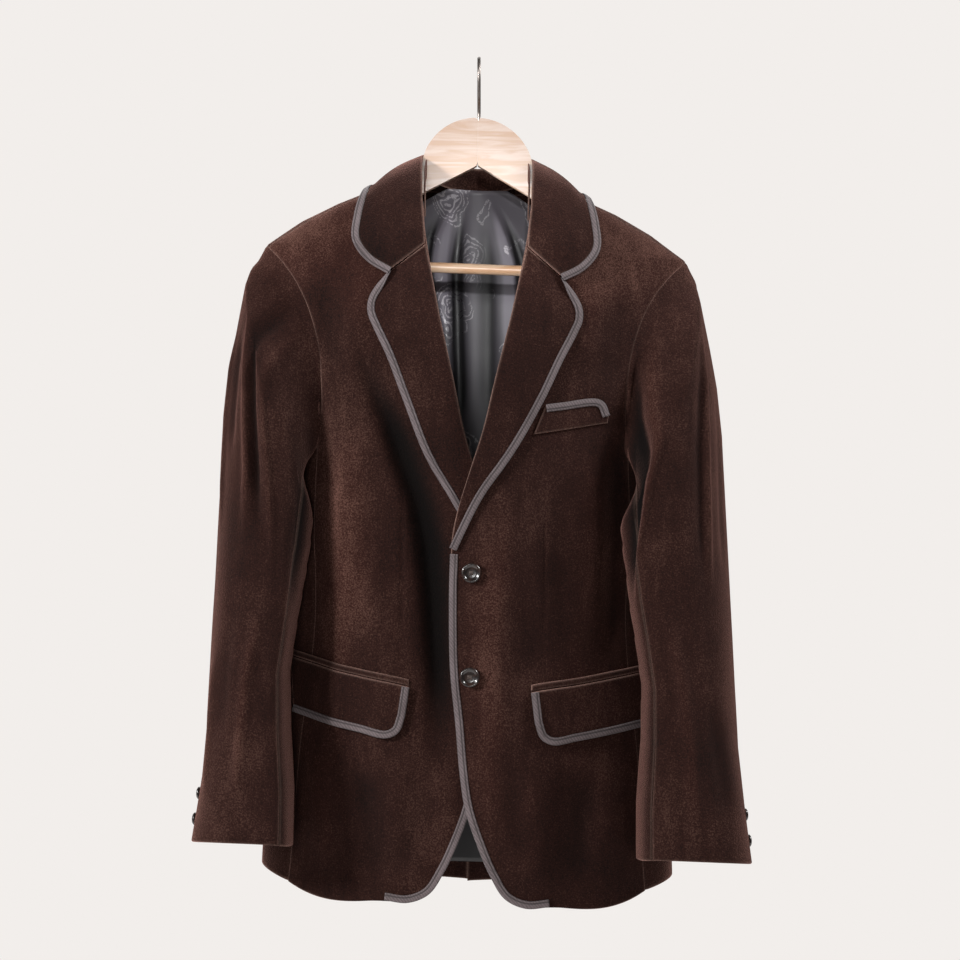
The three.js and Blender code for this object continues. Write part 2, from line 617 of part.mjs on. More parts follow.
function pockets() {
  for (const { side, word } of SIDES) {
    const rows = patchGrid(FLAP, side, 3, 12);
    cloth("flap_" + word, rows, { lift: CLOTH + 2 * LAY, facing: frontNormals(side, rows) });
    const line = [...rows[0], ...rows.slice(1).map((row) => row[3])].map((p) => ({ x: side * p.x, z: p.z }));
    frontBraid("flap_braid_" + word, side, line, 1, 2 * CLOTH + 3 * LAY);
    const jet = grid(10, 1, (t, u) => {
      const top = curveOf(FLAP, ["topX", null, "topZ"]).getPoint(t);
      return frontPoint(side, top.x, top.z + 1.6 + 6 * u);
    });
    cloth("jet_" + word, jet, { lift: CLOTH + LAY, facing: frontNormals(side, jet) });
  }
  const rows = patchGrid(WELT, 1, 3, 12);
  cloth("breast_welt", rows, { lift: CLOTH + LAY, facing: frontNormals(1, rows) });
  frontBraid("welt_braid", 1, rows.map((row) => ({ x: row[0].x, z: row[0].z })), -1, 2 * CLOTH + 2 * LAY);
}

// Buttons: a raised rim round a dish with a thread stud
function buttonGeometry({ radius, thick }) {
  const profile = [
    [0, 0], [0.8, 0], [1, 0.3], [1, 0.72], [0.9, 1], [0.74, 0.9], [0.62, 0.62], [0.22, 0.58], [0.18, 0.8], [0, 0.84],
  ].map(([r, h]) => new THREE.Vector2(r * radius, h * thick));
  const lathe = new THREE.LatheGeometry(profile, 12);
  lathe.deleteAttribute("normal");
  lathe.deleteAttribute("uv");
  return facingOut(mergeVertices(lathe, 1e-3));
}

function button(name, sizes, at, facing) {
  const geometry = buttonGeometry(sizes);
  const turn = new THREE.Quaternion().setFromUnitVectors(new THREE.Vector3(0, 1, 0), facing);
  geometry.applyQuaternion(turn);
  geometry.translate(...settle(at).toArray());
  add(name, geometry, "button");
}

function buttons() {
  BUTTON.rows.forEach((z, i) => {
    const at = frontPoint(1, 0, z);
    at.y -= CLOTH + 2 * LAY;
    button("front_button_" + (i + 1), BUTTON, at, new THREE.Vector3(0, -1, 0));
  });
  for (const { side, word } of SIDES)
    CUFF_BUTTON.rows.forEach((z, i) => {
      const t = (z - SHOULDER_TIP) / (CUFF_Z - CUFF_SLANT / 2 - SHOULDER_TIP);
      const at = sleevePoint(side, 0.955, t);
      const facing = new THREE.Vector3(side * 0.96, 0.25, 0).normalize();
      at.addScaledVector(facing, CLOTH / 2 + 2 * LAY);
      button("cuff_button_" + word + "_" + (i + 1), CUFF_BUTTON, at, facing);
    });
}

// Back lining, inside the back from the collar stand to the hem
function lining() {
  const rows = grid(22, 14, (t, u) => {
    const across = Math.abs(2 * u - 1);
    const top = THREE.MathUtils.lerp(-141, -222, across ** 1.6);
    const z = THREE.MathUtils.lerp(-864, top, t);
    const reach = THREE.MathUtils.lerp(1.1, 0.98, t) * across * Math.sign(2 * u - 1);
    const p = bodyPoint(1, Math.PI - reach, z);
    const inside = new THREE.Vector3(p.x, p.y, 0).normalize();
    const fold = 2.2 * (1 + Math.sin(9 * reach + z / 90)) * (1 - across ** 4);
    return p.addScaledVector(inside, -2.4 - fold);
  });
  cloth("back_lining", rows, { thick: LINING, lift: -LINING, material: "lining" });
}

// Hanger: two wooden halves, a trouser bar between their ends, and a wire hook
function hanger() {
  for (const side of [1, -1]) {
    const shape = new THREE.Shape();
    const join = 0.3;
    shape.moveTo(join, -109);
    shape.lineTo(join, HANGER.domeZ + HANGER.dome);
    for (let a = 82; a >= 30; a -= 8.6)
      shape.lineTo(HANGER.dome * Math.cos((a * Math.PI) / 180), HANGER.domeZ + HANGER.dome * Math.sin((a * Math.PI) / 180));
    shape.bezierCurveTo(51.5, -102, 51, -116, 51, -124);
    shape.bezierCurveTo(51, -134, 56, -138, 62, -142);
    shape.bezierCurveTo(92, -152, 136, -168, 172, -188);
    shape.bezierCurveTo(190, -197, 201, -210, 196, -221);
    shape.bezierCurveTo(190, -233, 170, -236, HANGER.armIn, -233);
    shape.lineTo(HANGER.armIn, -211);
    shape.bezierCurveTo(140, -188, 100, -168, 56, -140);
    shape.bezierCurveTo(38, -130, 14, -117, join, -109);
    const wood = new THREE.ExtrudeGeometry(shape, { depth: HANGER.thick, bevelEnabled: false, curveSegments: 5 });
    wood.translate(0, 0, -HANGER.thick / 2);
    wood.rotateX(Math.PI / 2);
    wood.deleteAttribute("normal");
    wood.deleteAttribute("uv");
    const merged = mergeVertices(wood, 1e-3);
    const p = merged.attributes.position;
    for (let i = 0; i < p.count; i += 1) {
      const q = settle(new THREE.Vector3(side * p.getX(i), p.getY(i), p.getZ(i)));
      p.setXYZ(i, q.x, q.y, q.z);
    }
    add(side > 0 ? "hanger_left" : "hanger_right", facingOut(merged), "wood");
  }
  const length = 2 * HANGER.armIn - 1.2;
  const bar = new THREE.CylinderGeometry(HANGER.barRadius, HANGER.barRadius, length, 20);
  bar.rotateZ(Math.PI / 2);
  bar.deleteAttribute("normal");
  bar.deleteAttribute("uv");
  const bars = mergeVertices(bar, 1e-3);
  const p = bars.attributes.position;
  for (let i = 0; i < p.count; i += 1) {
    const q = settle(new THREE.Vector3(p.getX(i), p.getY(i), p.getZ(i) + HANGER.barZ));
    p.setXYZ(i, q.x, q.y, q.z);
  }
  add("trouser_bar", facingOut(bars), "wood");
  const r = HOOK.inner + HOOK.wire;
  const route = [[0, HOOK.stemEnd], [0, -56], [-4, -49], [-13, -41]].map(([y, z]) => new THREE.Vector3(0, y, z));
  for (let a = 205; a >= -25; a -= 23)
    route.push(new THREE.Vector3(0, r * Math.cos((a * Math.PI) / 180), -HOOK.inner + r * Math.sin((a * Math.PI) / 180)));
  const wire = new THREE.Shape().absarc(0, 0, HOOK.wire, 0, 2 * Math.PI, false);
  const tube = new THREE.ExtrudeGeometry(wire, {
    steps: 36, curveSegments: 4, bevelEnabled: false, extrudePath: new THREE.CatmullRomCurve3(route, false, "centripetal"),
  });
  tube.deleteAttribute("normal");
  tube.deleteAttribute("uv");
  add("hook", facingOut(mergeVertices(tube, 1e-3)), "metal");
}

lapels();
collar();
sleeves();
pockets();
buttons();
lining();
hanger();
export default jacket;
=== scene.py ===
"""A velvet blazer with bound edges on a wooden hanger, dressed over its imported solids."""

import functools
import math

import bmesh
import bpy
import numpy as np
from mathutils import Matrix, Vector


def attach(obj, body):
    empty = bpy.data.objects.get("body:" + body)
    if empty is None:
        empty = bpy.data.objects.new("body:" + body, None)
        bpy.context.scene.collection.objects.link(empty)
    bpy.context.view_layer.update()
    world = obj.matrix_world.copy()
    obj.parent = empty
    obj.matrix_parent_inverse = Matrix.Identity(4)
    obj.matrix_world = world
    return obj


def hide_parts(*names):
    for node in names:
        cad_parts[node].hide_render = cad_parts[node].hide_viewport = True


bl_info = {
    "name": "Velvet Jacket",
    "version": (1, 0, 0),
    "blender": (4, 5, 0),
    "location": "View3D > Sidebar > Velvet Jacket",
    "description": "Dresses a velvet blazer on its hanger: cloth, braid, lining, buttons, wood and wire",
    "category": "Object",
}

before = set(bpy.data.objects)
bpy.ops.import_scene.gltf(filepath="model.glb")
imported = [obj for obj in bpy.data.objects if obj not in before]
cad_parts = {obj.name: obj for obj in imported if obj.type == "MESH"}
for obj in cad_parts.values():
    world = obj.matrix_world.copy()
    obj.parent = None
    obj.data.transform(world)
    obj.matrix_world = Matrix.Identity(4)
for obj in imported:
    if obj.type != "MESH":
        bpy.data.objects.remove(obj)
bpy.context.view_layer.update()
BODY_NAME = "root"
MM = 0.001

# Sizes in millimetres, in the garment's own frame before it settles on the hanger
CLOTH = 2.0
LINING = 1.2
STAND_THICK = 1.6
BRAID_WIDTH = 7.0
BRAID_OVER = 0.9        # how far a braid wraps past the edge that it binds
BRAID_THICK = 1.2
BRAID_STEPS = 13
BRAID_GROOVE = 0.7      # where the sewn groove runs, as a share of the width
LAY = 0.8               # the room between two layers
RIPPLE = 0.28
TURN = 1.6              # how far from its edge a panel starts to roll over
EDGE_HIGHLIGHT_REACH = 1.1            # how far from its edge the painted highlight reaches
EDGE_SHARE = 0.35       # the thickness of a panel at its very edge, as a share
FULL_SHADE_HEIGHT = 20.0       # the height of a crease that gives the full painted shade in its trough, or the full painted highlight on its ridge
SHOULDER_HIGHLIGHT = 7.0    # painted highlight on top of the shoulders, given as the height of a ridge
LAP_REACH, LAP_FADE, LAP_DEPTH = 30.0, 75.0, 5.2
DRIFT = 0.0145
DROP = 0.04
HEM_SAG = 9.0
HEM_SLIP = 5.0
SHOULDER_RISE = 6.0
SHOULDER_TIP = -206.0
SIDE_HEM, SIDE_WIDTH = -866.0, 180.0
UNDERARM = -414.0
CUFF_Z = -820.0
CUFF_SLANT = 14.0
SLEEVE_CLEAR = 9.0
SLEEVE_AXIS_X = 206.0
SEAM_IN, SEAM_OVER = 2.8, 1.5   # a sleeve's way into its armhole past the seam, and its overlap
SEAM_OUT, SEAM_SUNK = 1.7, 0.3   # how far it stands off the body there, and how deep it starts
FRONT_INNER_CORNER, OTHER_CORNER = 0.55, 0.9
LAPEL_SLIP = 7.0        # how far the lapels' edges lie to the jacket's right below the notch
LAPEL_BELLY, COLLAR_BELLY = 5.0, 5.0
COLLAR_AXIS = (0, 0, 60)   # the collar faces away from a point this far below it
STAND_DEEP = 26.0
GORGE_REACH = 0.14
GORGE_Y = -76.0
LINING_HEM, LINING_NECK, LINING_FALL = -864.0, -131.0, 92.0
JET_WIDTH = 6.4
BUTTON_HEIGHTS = (-540.0, -646.0)
CUFF_BUTTON_HEIGHTS = (-779.0, -805.0)
CUFF_BUTTON_TURN = 0.955
HANGER_THICK = 13.0
JOIN_X, JOIN_Z = 0.06, -109.0   # where the hanger's halves meet below the dome
DOME_RADIUS, DOME_Z, DOME_END_X = 57.0, -122.4, 49.36
ROUND_STEPS = 6
BAR_END, BAR_Z = 157.4, -222.0
HOOK_RADIUS, HOOK_CENTRE = 21.8, -20.0
SIDES = ((1, "left"), (-1, "right"))

# Sizes in metres of what the looks repeat, and of round stock
TUFT = 0.0015
TWILL_RIB = 0.002573
WAVE = math.tau / 20    # the length of one wave of a wave texture of scale 1
LEAF = 0.046
BAR_RADIUS = 0.0055
WIRE_RADIUS = 0.0018
BUTTON_THICK, CUFF_BUTTON_THICK = 0.0042, 0.0034

# What the operators have made: finishes by kind
MATERIALS = {}

# The sleeves' panels: name, first and last turn round the sleeve, rows down and across, and the painted shade
# that darkens its pile
SLEEVE_PIECES = (("sleeve_top_", -0.1165, 0.3615, 200, 80, 0), ("sleeve_under_", 0.3635, 0.8825, 150, 50, 3))
BRAID_TOP = 0.517       # how far up its table a front is bound

# The stage, in metres and watts; of each light its name, place, size and power
LENS, SENSOR = 86.54, 36
VIEWPOINT = (0.00104, -2.45, -0.4459)
AREA_LIGHTS = (
    ("key_left", (-2.3, -1.3, 0.45), 0.5, 100),
    ("fill_right", (2.1, -0.4, 1.1), 0.6, 70),
    ("front_soft", (-0.5, -3.2, -0.1), 0.7, 20),
    ("rim_back", (0.0, 1.9, 1.0), 1.4, 16),
)
NECK_LAMP = (0.05, -2.6, 0.25)
LIT_MIDDLE, LIT_NECK = (0, 0, -0.45), (0, 0.04, -0.22)
FLOOR_RADIUS, FLOOR_Z = 1.3, -1.36
STUDIO_WHITE = "#f2eeeb"

# Level sections of the body: height, half width, depth in front and behind
BODY = np.array([
    (-96, 58, 30, 60),
    (-125, 76, 36, 63),
    (-146, 111, 44, 67),
    (-161, 147, 52, 70),
    (-181, 184, 60, 74),
    (-208, 222, 69, 78),
    (-250, 226, 79, 84),
    (-300, 224, 88, 87),
    (-350, 218, 94, 88),
    (-430, 207, 99, 85),
    (-560, 200, 97, 77),
    (-650, 204, 95, 79),
    (-750, 211, 94, 84),
    (-890, 217, 91, 87),
], float)
HALF, FRONT_DEPTH, BACK_DEPTH = 1, 2, 3

# A front's rows, hem to shoulder: x and z at the front edge or roll line, and at the far side
FRONT = np.array([
    (84, -879, 185, -866),
    (60, -880.5, 183, -845),
    (39, -871, 181, -818),
    (24, -848, 179, -788),
    (11.5, -820, 177, -756),
    (-2, -781, 174, -718),
    (-8, -745, 169, -680),
    (-13, -695, 164, -640),
    (-19, -642, 160.5, -598),
    (-21, -590, 160.5, -555),
    (-21, -535, 163, -508),
    (-19, -497, 162, -460),
    (-4, -440, 160, -415),
    (9.6, -395, 157, -375),
    (19, -352, 159, -335),
    (32.6, -295, 165, -300),
    (40, -260, 174, -272),
    (46, -230, 185, -250),
    (53, -190, 196, -234),
    (58, -150, 206, -222),
    (71, -127, 217, -211),
], float)

# A back's rows, hem to shoulder: turn round the body in degrees and z, at the middle and the far side
BACK = np.array([
    (180, -884, 136, -872),
    (180, -800, 136, -790),
    (180, -700, 135, -695),
    (180, -600, 135, -597),
    (180, -500, 133.5, -500),
    (180, -420, 130.5, -425),
    (180, -350, 126.5, -378),
    (180, -280, 125, -330),
    (180, -210, 123.5, -285),
    (180, -160, 118, -245),
    (172, -138, 110, -222),
    (140, -134, 100, -210),
    (100, -126, 89, -206),
    (64.5, -127, 77, -211),
], float)

# A lapel's rows, gorge to break: x and z at the roll line and at the outer edge
LAPEL = np.array([
    (52, -208, 87, -237),
    (49, -220, 101, -251),
    (45.5, -234, 108.5, -265),
    (41.5, -253, 109, -278),
    (37, -275, 103, -293),
    (31, -301, 90, -319),
    (22, -339, 72, -361),
    (9.6, -395, 44, -420),
    (-3, -437, 17, -462),
    (-13, -472, -1, -495),
    (-20, -508, -13, -518),
], float)

# The collar, notch to centre back: x, y, z along its fold, and along its outer edge
COLLAR = np.array([
    (53, -76, -204, 87, -77, -232),
    (54, -70, -186, 108, -73, -220),
    (56, -60, -164, 121, -66, -202),
    (57, -44, -140, 120, -55, -177),
    (58, -24, -119, 115, -37, -153),
    (57, -3, -106, 110, -3, -140),
    (54, 20, -102, 99, 42, -148),
    (42, 46, -104, 72, 70, -160),
    (22, 62, -106, 37, 80, -163),
    (0, 67, -107, 0, 83, -165),
], float)

# Level sections of a sleeve: height, inner and outer side, front and back
SLEEVE = np.array([
    (-200, 196, 221, -24, 26),
    (-228, 184, 231, -50, 46),
    (-250, 176, 236.5, -62, 54),
    (-300, 162, 246.5, -80, 62),
    (-340, 157, 254, -90, 64),
    (-390, 156, 260, -98, 62),
    (-440, 157, 263, -103, 56),
    (-520, 166, 267, -110, 42),
    (-600, 180, 271, -117, 26),
    (-650, 187, 273, -121, 14),
    (-710, 185, 276, -126, -2),
    (-770, 180, 283, -131, -20),
    (-832, 179, 291, -136, -40),
], float)
IN_X, OUT_X, FRONT_Y, BACK_Y = 1, 2, 3, 4

# The sleeves hang unevenly: height, how much further in the left one's inner side lies, and how
# much further out the right one's outer side
HANG = np.array([
    (-200, 0, 2),
    (-250, 0, 6),
    (-300, 1, 4),
    (-400, 3, 0),
    (-480, 9, -2),
    (-560, 11, -4),
    (-640, 9, -5),
    (-700, 7, -6),
    (-760, 6, -9),
    (-834, 5, -9),
], float)
LEFT_IN, RIGHT_OUT = 1, 2

# Flap and breast welt: x and z along the top and along the bottom
FLAP = np.array([
    (62, -660, 66, -690),
    (72, -658, 72, -706),
    (84, -656, 84, -712.5),
    (110, -652, 110, -708),
    (145, -645, 145, -701),
    (184, -637, 180, -693),
], float)
WELT = np.array([
    (72.5, -367, 61, -397),
    (90, -364, 82, -393),
    (124, -358.5, 112, -387),
    (132, -362, 126, -384),
    (137.5, -374, 136.5, -382),
], float)


# ---------------------------------------------------------------- form

def column(table, index, z):
    """A column of a table of level sections, read at heights z."""
    return np.interp(-np.asarray(z, float), -table[:, 0], table[:, index])


def smoothstep(x, low, high):
    t = np.clip((np.asarray(x, float) - low) / (high - low), 0, 1)
    return t * t * (3 - 2 * t)


def spline(points, t):
    """Points on a centripetal spline through the given ones, for shares t from first to last."""
    points = np.asarray(points, float)
    t = np.atleast_1d(np.asarray(t, float))
    last = len(points) - 1
    spot = np.clip(t, 0, 1) * last
    index = np.minimum(spot.astype(int), last - 1)
    w = (spot - index)[:, None]
    padded = np.vstack([2 * points[0] - points[1], points, 2 * points[-1] - points[-2]])
    p0, p1, p2, p3 = (padded[index + k] for k in range(4))
    step = [np.sqrt(np.linalg.norm(b - a, axis=1))[:, None] for a, b in ((p0, p1), (p1, p2), (p2, p3))]
    d0, d1, d2 = (np.maximum(s, 1e-4) for s in step)
    t1 = ((p1 - p0) / d0 - (p2 - p0) / (d0 + d1) + (p2 - p1) / d1) * d1
    t2 = ((p2 - p1) / d1 - (p3 - p1) / (d1 + d2) + (p3 - p2) / d2) * d1
    return (p1 + t1 * w + (-3 * p1 + 3 * p2 - 2 * t1 - t2) * w**2
            + (2 * p1 - 2 * p2 + t1 + t2) * w**3)


def body_point(angle, z):
    """The body's surface at an angle round it, from 0 at the centre front to pi at the centre back."""
    half = column(BODY, HALF, z)
    depth = np.where(np.cos(angle) > 0, column(BODY, FRONT_DEPTH, z), column(BODY, BACK_DEPTH, z))
    return np.stack([half * np.sin(angle), -depth * np.cos(angle), z + 0 * angle], -1)


def angle_at(x, z, behind=False):
    angle = np.arcsin(np.clip(x / column(BODY, HALF, z), -1, 1))
    return np.pi - angle if behind else angle


def lap_offset(side, x):
    return side * LAP_DEPTH * (1 - smoothstep(np.abs(x), LAP_REACH, LAP_REACH + LAP_FADE))


def mirrored(points, side):
    return points * (side, 1, 1)


def settle(points):
    """The hang: a sideways drift with depth below the rail, and a drop towards the left shoulder."""
    x, y, z = points[..., 0], points[..., 1], points[..., 2]
    return np.stack([x + DRIFT * z, y, z - DROP * x], -1)


def unit(vectors):
    return vectors / np.maximum(np.linalg.norm(vectors, axis=-1, keepdims=True), 1e-9)


def outward(rows):
    """Unit vectors that point level away from the body's axis."""
    return unit(rows * (1, 1, 0))


def normals_of(rows, centre=None):
    """Unit normals of a grid of points, facing away from the given centre points or the body's axis."""
    if centre is None:
        centre = rows * (0, 0, 1)
    n = unit(np.cross(np.gradient(rows, axis=0), np.gradient(rows, axis=1)))
    return -n if (n * (rows - centre)).sum() < 0 else n


def edges(table, t):
    """Both long edges of a panel, from the four columns of its table."""
    return spline(table[:, 0:2], t[:, 0]), spline(table[:, 2:4], t[:, 0])


def between(a, b, u):
    """Both coordinates of points at shares u of the way between two edges."""
    return (1 - u) * a[:, 0:1] + u * b[:, 0:1], (1 - u) * a[:, 1:2] + u * b[:, 1:2]


def far_side(table, z):
    """The first coordinate of a panel's far side at heights z."""
    order = np.argsort(table[:, 3])
    return np.interp(z, table[order, 3], table[order, 2])


def near_hem(t):
    """1 at the hem of a front or back, fading to 0 over its lowest sixth."""
    return np.clip(1 - t * 6, 0, None)


def near_shoulder(t):
    return np.clip(t * 6 - 5, 0, None)


# ---------------------------------------------------------------- creases

def crease(x, z, route, width, depth, lean=0.0):
    """A soft trough (or a ridge, where depth is negative) along a route of x, z points.

    It fades in and out at its ends, and lean makes one flank steeper than the other."""
    route = np.asarray(route, float)
    order = np.argsort(-route[:, 1])
    route = route[order]
    centre = np.interp(-z, -route[:, 1], route[:, 0])
    top, low = route[0, 1], route[-1, 1]
    fade = smoothstep(z, low, low + 0.3 * (top - low)) * (1 - smoothstep(z, top - 0.3 * (top - low), top))
    off = (x - centre) / width
    off = np.where(off > 0, off * (1 + lean), off * (1 - lean))
    return -depth * fade * np.exp(-off**2)


# Creases of the fronts: side, route of x and z, width, depth and, where it leans, its lean
FRONT_CREASES = (
    (1, ((72, -440), (74, -560), (74.5, -650)), 1.5, 1.3),
    (-1, ((72, -440), (71, -560), (69.5, -645)), 1.5, 1.3),
    (1, ((40, -430), (28, -520), (20, -640), (30, -780), (44, -860)), 22, -5.5, 0.3),
    (1, ((88, -410), (92, -540), (90, -655)), 13, 1.6, 0.3),
    (-1, ((124, -280), (117, -308), (106, -348), (87, -388), (72, -429), (57, -468), (47, -510), (40, -570),
          (34, -650), (30, -760)), 15, 9.0, 0.3),
    (-1, ((122, -360), (116, -500), (108, -645)), 18, -4.0),
    (1, ((124, -380), (130, -500), (128, -640)), 16, -3.2),
    (1, ((152, -380), (148, -480), (144, -600), (140, -650)), 12, 4.5, 0.3),
    (-1, ((138, -370), (134, -500), (132, -620), (136, -780)), 16, -5.0, -0.2),
    (1, ((40, -560), (60, -600), (64, -655)), 14, 2.4),
    (1, ((126, -728), (116, -800), (112, -872)), 20, 3.6, 0.2),
    (1, ((66, -722), (60, -790), (64, -868)), 18, -3.2),
    (-1, ((112, -724), (100, -800), (92, -872)), 20, 3.4, 0.2),
    (-1, ((154, -712), (150, -790), (146, -860)), 16, -3.0),
    (1, ((30, -690), (44, -760), (58, -850)), 14, 2.6),
    (-1, ((50, -740), (52, -790), (66, -860)), 16, 2.0),
    (1, ((160, -240), (148, -290), (140, -350)), 15, 2.2, 0.2),
    (-1, ((160, -240), (150, -290), (142, -350)), 15, 2.6, 0.2),
    (1, ((112, -215), (120, -270), (118, -330)), 20, -2.6),
    (-1, ((112, -215), (122, -270), (120, -330)), 20, -2.6),
)

# Creases of the sleeves: side, route of turn in degrees and z, width in degrees, depth, lean
SLEEVE_CREASES = (
    (-1, ((112, -262), (120, -340), (126, -430), (130, -520), (146, -620)), 15, 6.0),
    (-1, ((69, -245), (77, -321), (84, -383), (91, -446), (98, -510), (106, -580)), 2.6, -3.4),
    (-1, ((60, -245), (67, -321), (74, -383), (82, -446), (90, -520)), 4, 5.5, 0.4),
    (-1, ((50, -255), (57, -321), (64, -383), (70, -446), (74, -530)), 4.5, -4.5),
    (-1, ((40, -290), (42, -360), (44, -440)), 6, 3.6),
    (-1, ((22, -280), (25, -340), (27, -430), (30, -520)), 3.5, -3.4),
    (-1, ((100, -560), (92, -640), (86, -720), (82, -800)), 6, -3.6),
    (-1, ((72, -560), (64, -640), (58, -730)), 12, 2.6),
    (-1, ((40, -620), (36, -700), (34, -790)), 9, -3.0),
    (-1, ((98, -200), (98, -230), (96, -270)), 14, -4.0),
    (1, ((66, -255), (76, -290), (89, -323), (104, -374), (114, -426), (123, -477), (138, -529),
         (154, -580)), 5, 9.0, -0.6),
    (1, ((59, -255), (69, -290), (82, -323), (97, -374), (107, -426), (115, -477), (129, -535)), 3.2, -4.6),
    (1, ((36, -262), (46, -300), (53, -350), (57, -400), (58, -460), (60, -560)), 3.2, -4.2),
    (1, ((48, -290), (58, -340), (66, -400), (67, -470), (68, -560)), 5, 3.4, -0.4),
    (1, ((26, -330), (32, -430), (36, -540)), 6, 2.6),
    (1, ((134, -330), (146, -400), (156, -470), (166, -540)), 10, -4.0),
    (1, ((104, -205), (100, -240), (96, -275)), 14, -4.6),
    (1, ((106, -560), (98, -640), (92, -730), (88, -810)), 6, -3.6),
    (1, ((74, -650), (62, -720), (56, -790)), 12, 2.6),
    (1, ((-40, -330), (-52, -430), (-58, -540)), 11, 5.0),
    (-1, ((-38, -320), (-50, -420), (-60, -540)), 11, 5.0),
    (1, ((-70, -560), (-60, -660), (-50, -760)), 12, 4.0),
    (-1, ((-72, -540), (-60, -650), (-52, -740)), 12, 4.2),
)

# Creases of the back: side, route of x and z, width, depth, lean
BACK_CREASES = (
    (1, ((120, -260), (104, -380), (92, -520)), 22, 3.5),
    (-1, ((118, -250), (106, -370), (90, -500)), 20, 3.2),
    (1, ((60, -560), (66, -700), (72, -870)), 26, 3.4),
    (-1, ((56, -540), (68, -690), (76, -870)), 24, 3.0),
    (1, ((20, -200), (24, -300), (22, -420)), 18, 2.0),
    (-1, ((22, -200), (24, -300), (20, -430)), 18, 2.2),
)


def creased(table, side, x, z):
    return sum((crease(x, z, *shape) for on, *shape in table if on == side), np.zeros_like(x))


def ripple(x, z, seed):
    """A low unevenness that hung cloth has all over, in millimetres."""
    a = np.sin(x / 31 + z / 83 + seed) + 0.6 * np.sin(x / 19 - z / 57 + 2.1 * seed)
    b = 0.5 * np.sin(x / 11 + z / 29 + 3.7 * seed)
    return RIPPLE * (a + b)


# ---------------------------------------------------------------- meshes

def added(name, bm, smooth=True):
    """The mesh built in bm, as a new object of the scene."""
    mesh = bpy.data.meshes.new(name)
    bm.to_mesh(mesh)
    bm.free()
    if smooth:
        mesh.shade_smooth()
    obj = bpy.data.objects.new(name, mesh)
    bpy.context.scene.collection.objects.link(obj)
    return obj


def bridge(bm, rings):
    """Skins the gaps between rings of vertices."""
    for a, b in zip(rings, rings[1:]):
        for k in range(len(a)):
            after = (k + 1) % len(a)
            bm.faces.new((a[k], a[after], b[after], b[k]))


def wall_mesh(name, inner, outer):
    """A closed wall between two grids of points in millimetres, as a smooth-shaded object in metres."""
    down, across = inner.shape[:2]
    layers = np.concatenate([settle(inner).reshape(-1, 3), settle(outer).reshape(-1, 3)]) * MM
    index = np.arange(down * across).reshape(down, across)
    over = index + down * across
    faces = [
        np.stack([index[:-1, :-1], index[:-1, 1:], index[1:, 1:], index[1:, :-1]], -1).reshape(-1, 4),
        np.stack([over[:-1, :-1], over[1:, :-1], over[1:, 1:], over[:-1, 1:]], -1).reshape(-1, 4),
    ]
    for low, high, turned in (
        (index[:, 0], over[:, 0], False),
        (index[:, -1], over[:, -1], True),
        (index[0, :], over[0, :], True),
        (index[-1, :], over[-1, :], False),
    ):
        strip = np.stack([low[:-1], low[1:], high[1:], high[:-1]], -1)
        faces.append(strip[:, ::-1] if turned else strip)
    draft = bpy.data.meshes.new(name)
    draft.from_pydata(layers.tolist(), [], np.concatenate(faces).tolist())
    bm = bmesh.new()
    bm.from_mesh(draft)
    bpy.data.meshes.remove(draft)
    if bm.calc_volume(signed=True) < 0:
        bmesh.ops.reverse_faces(bm, faces=bm.faces)
    return added(name, bm)


def edge_distance(rows):
    """The distance in millimetres of each grid point from the nearest edge of its grid."""
    def run(points, axis):
        steps = np.linalg.norm(np.diff(points, axis=axis), axis=-1)
        pad = np.zeros_like(np.take(steps, [0], axis))
        forward = np.concatenate([pad, np.cumsum(steps, axis)], axis)
        return np.minimum(forward, np.take(forward, [-1], axis) - forward)
    return np.minimum(run(rows, 0), run(rows, 1))


def hemmed(count, reach=0.006):
    """Shares from 0 to 1 with extra ones close to both ends, so that a wall's edge can be rounded."""
    extra = reach * np.array([1 / 3, 2 / 3]) * 0.6
    return np.sort(np.concatenate([np.linspace(0, 1, count - 4), extra, 1 - extra]))


def shares(down, across):
    return np.meshgrid(hemmed(down + 1), hemmed(across + 1, reach=0.02), indexing="ij")


def mark(obj, name, values):
    """Writes one number a grid point on a wall, the same on both of its faces."""
    layer = obj.data.attributes.new(name, "FLOAT", "POINT")
    layer.data.foreach_set("value", np.concatenate([values.ravel(), values.ravel()]))


def turned_wall(name, rows, normals, thick, lift=0.0, heights=0.0, pale=0.6):
    """A wall whose outer face rolls over into its edges, as a sewn and pressed edge does.

    A painted highlight is marked along its edges and on the ridges that heights gives in millimetres, and
    painted shade in their troughs."""
    edge = edge_distance(rows)
    round_off = np.sqrt(1 - (1 - np.clip(edge / TURN, 0, 1))**2)[..., None]
    inner = rows + normals * lift
    outer = rows + normals * (lift + thick * (EDGE_SHARE + (1 - EDGE_SHARE) * round_off))
    obj = wall_mesh(name, inner, outer)
    # painted highlight along the edges, where sheen would show
    mark(obj, "painted_edge_highlight", pale * np.exp(-(edge / EDGE_HIGHLIGHT_REACH)**2))
    # painted shade in the troughs and painted highlight on the ridges that heights gives
    mark(obj, "painted_shade_and_highlight", 0.5 + np.clip((0 * edge + heights) / FULL_SHADE_HEIGHT, -0.5, 0.5))
    return obj


def dress(obj, kind, *nodes):
    """Gives a piece its material, its body and the solids that it stands for."""
    obj.data.materials.append(material_of(kind))
    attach(obj, BODY_NAME)
    if nodes:
        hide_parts(*nodes)


def velvet_piece(node_name, rows, normals, thick=CLOTH, **shaping):
    """A panel of velvet in place of the solid of its name."""
    dress(turned_wall("velvet_" + node_name, rows, normals, thick, **shaping), "velvet", node_name)


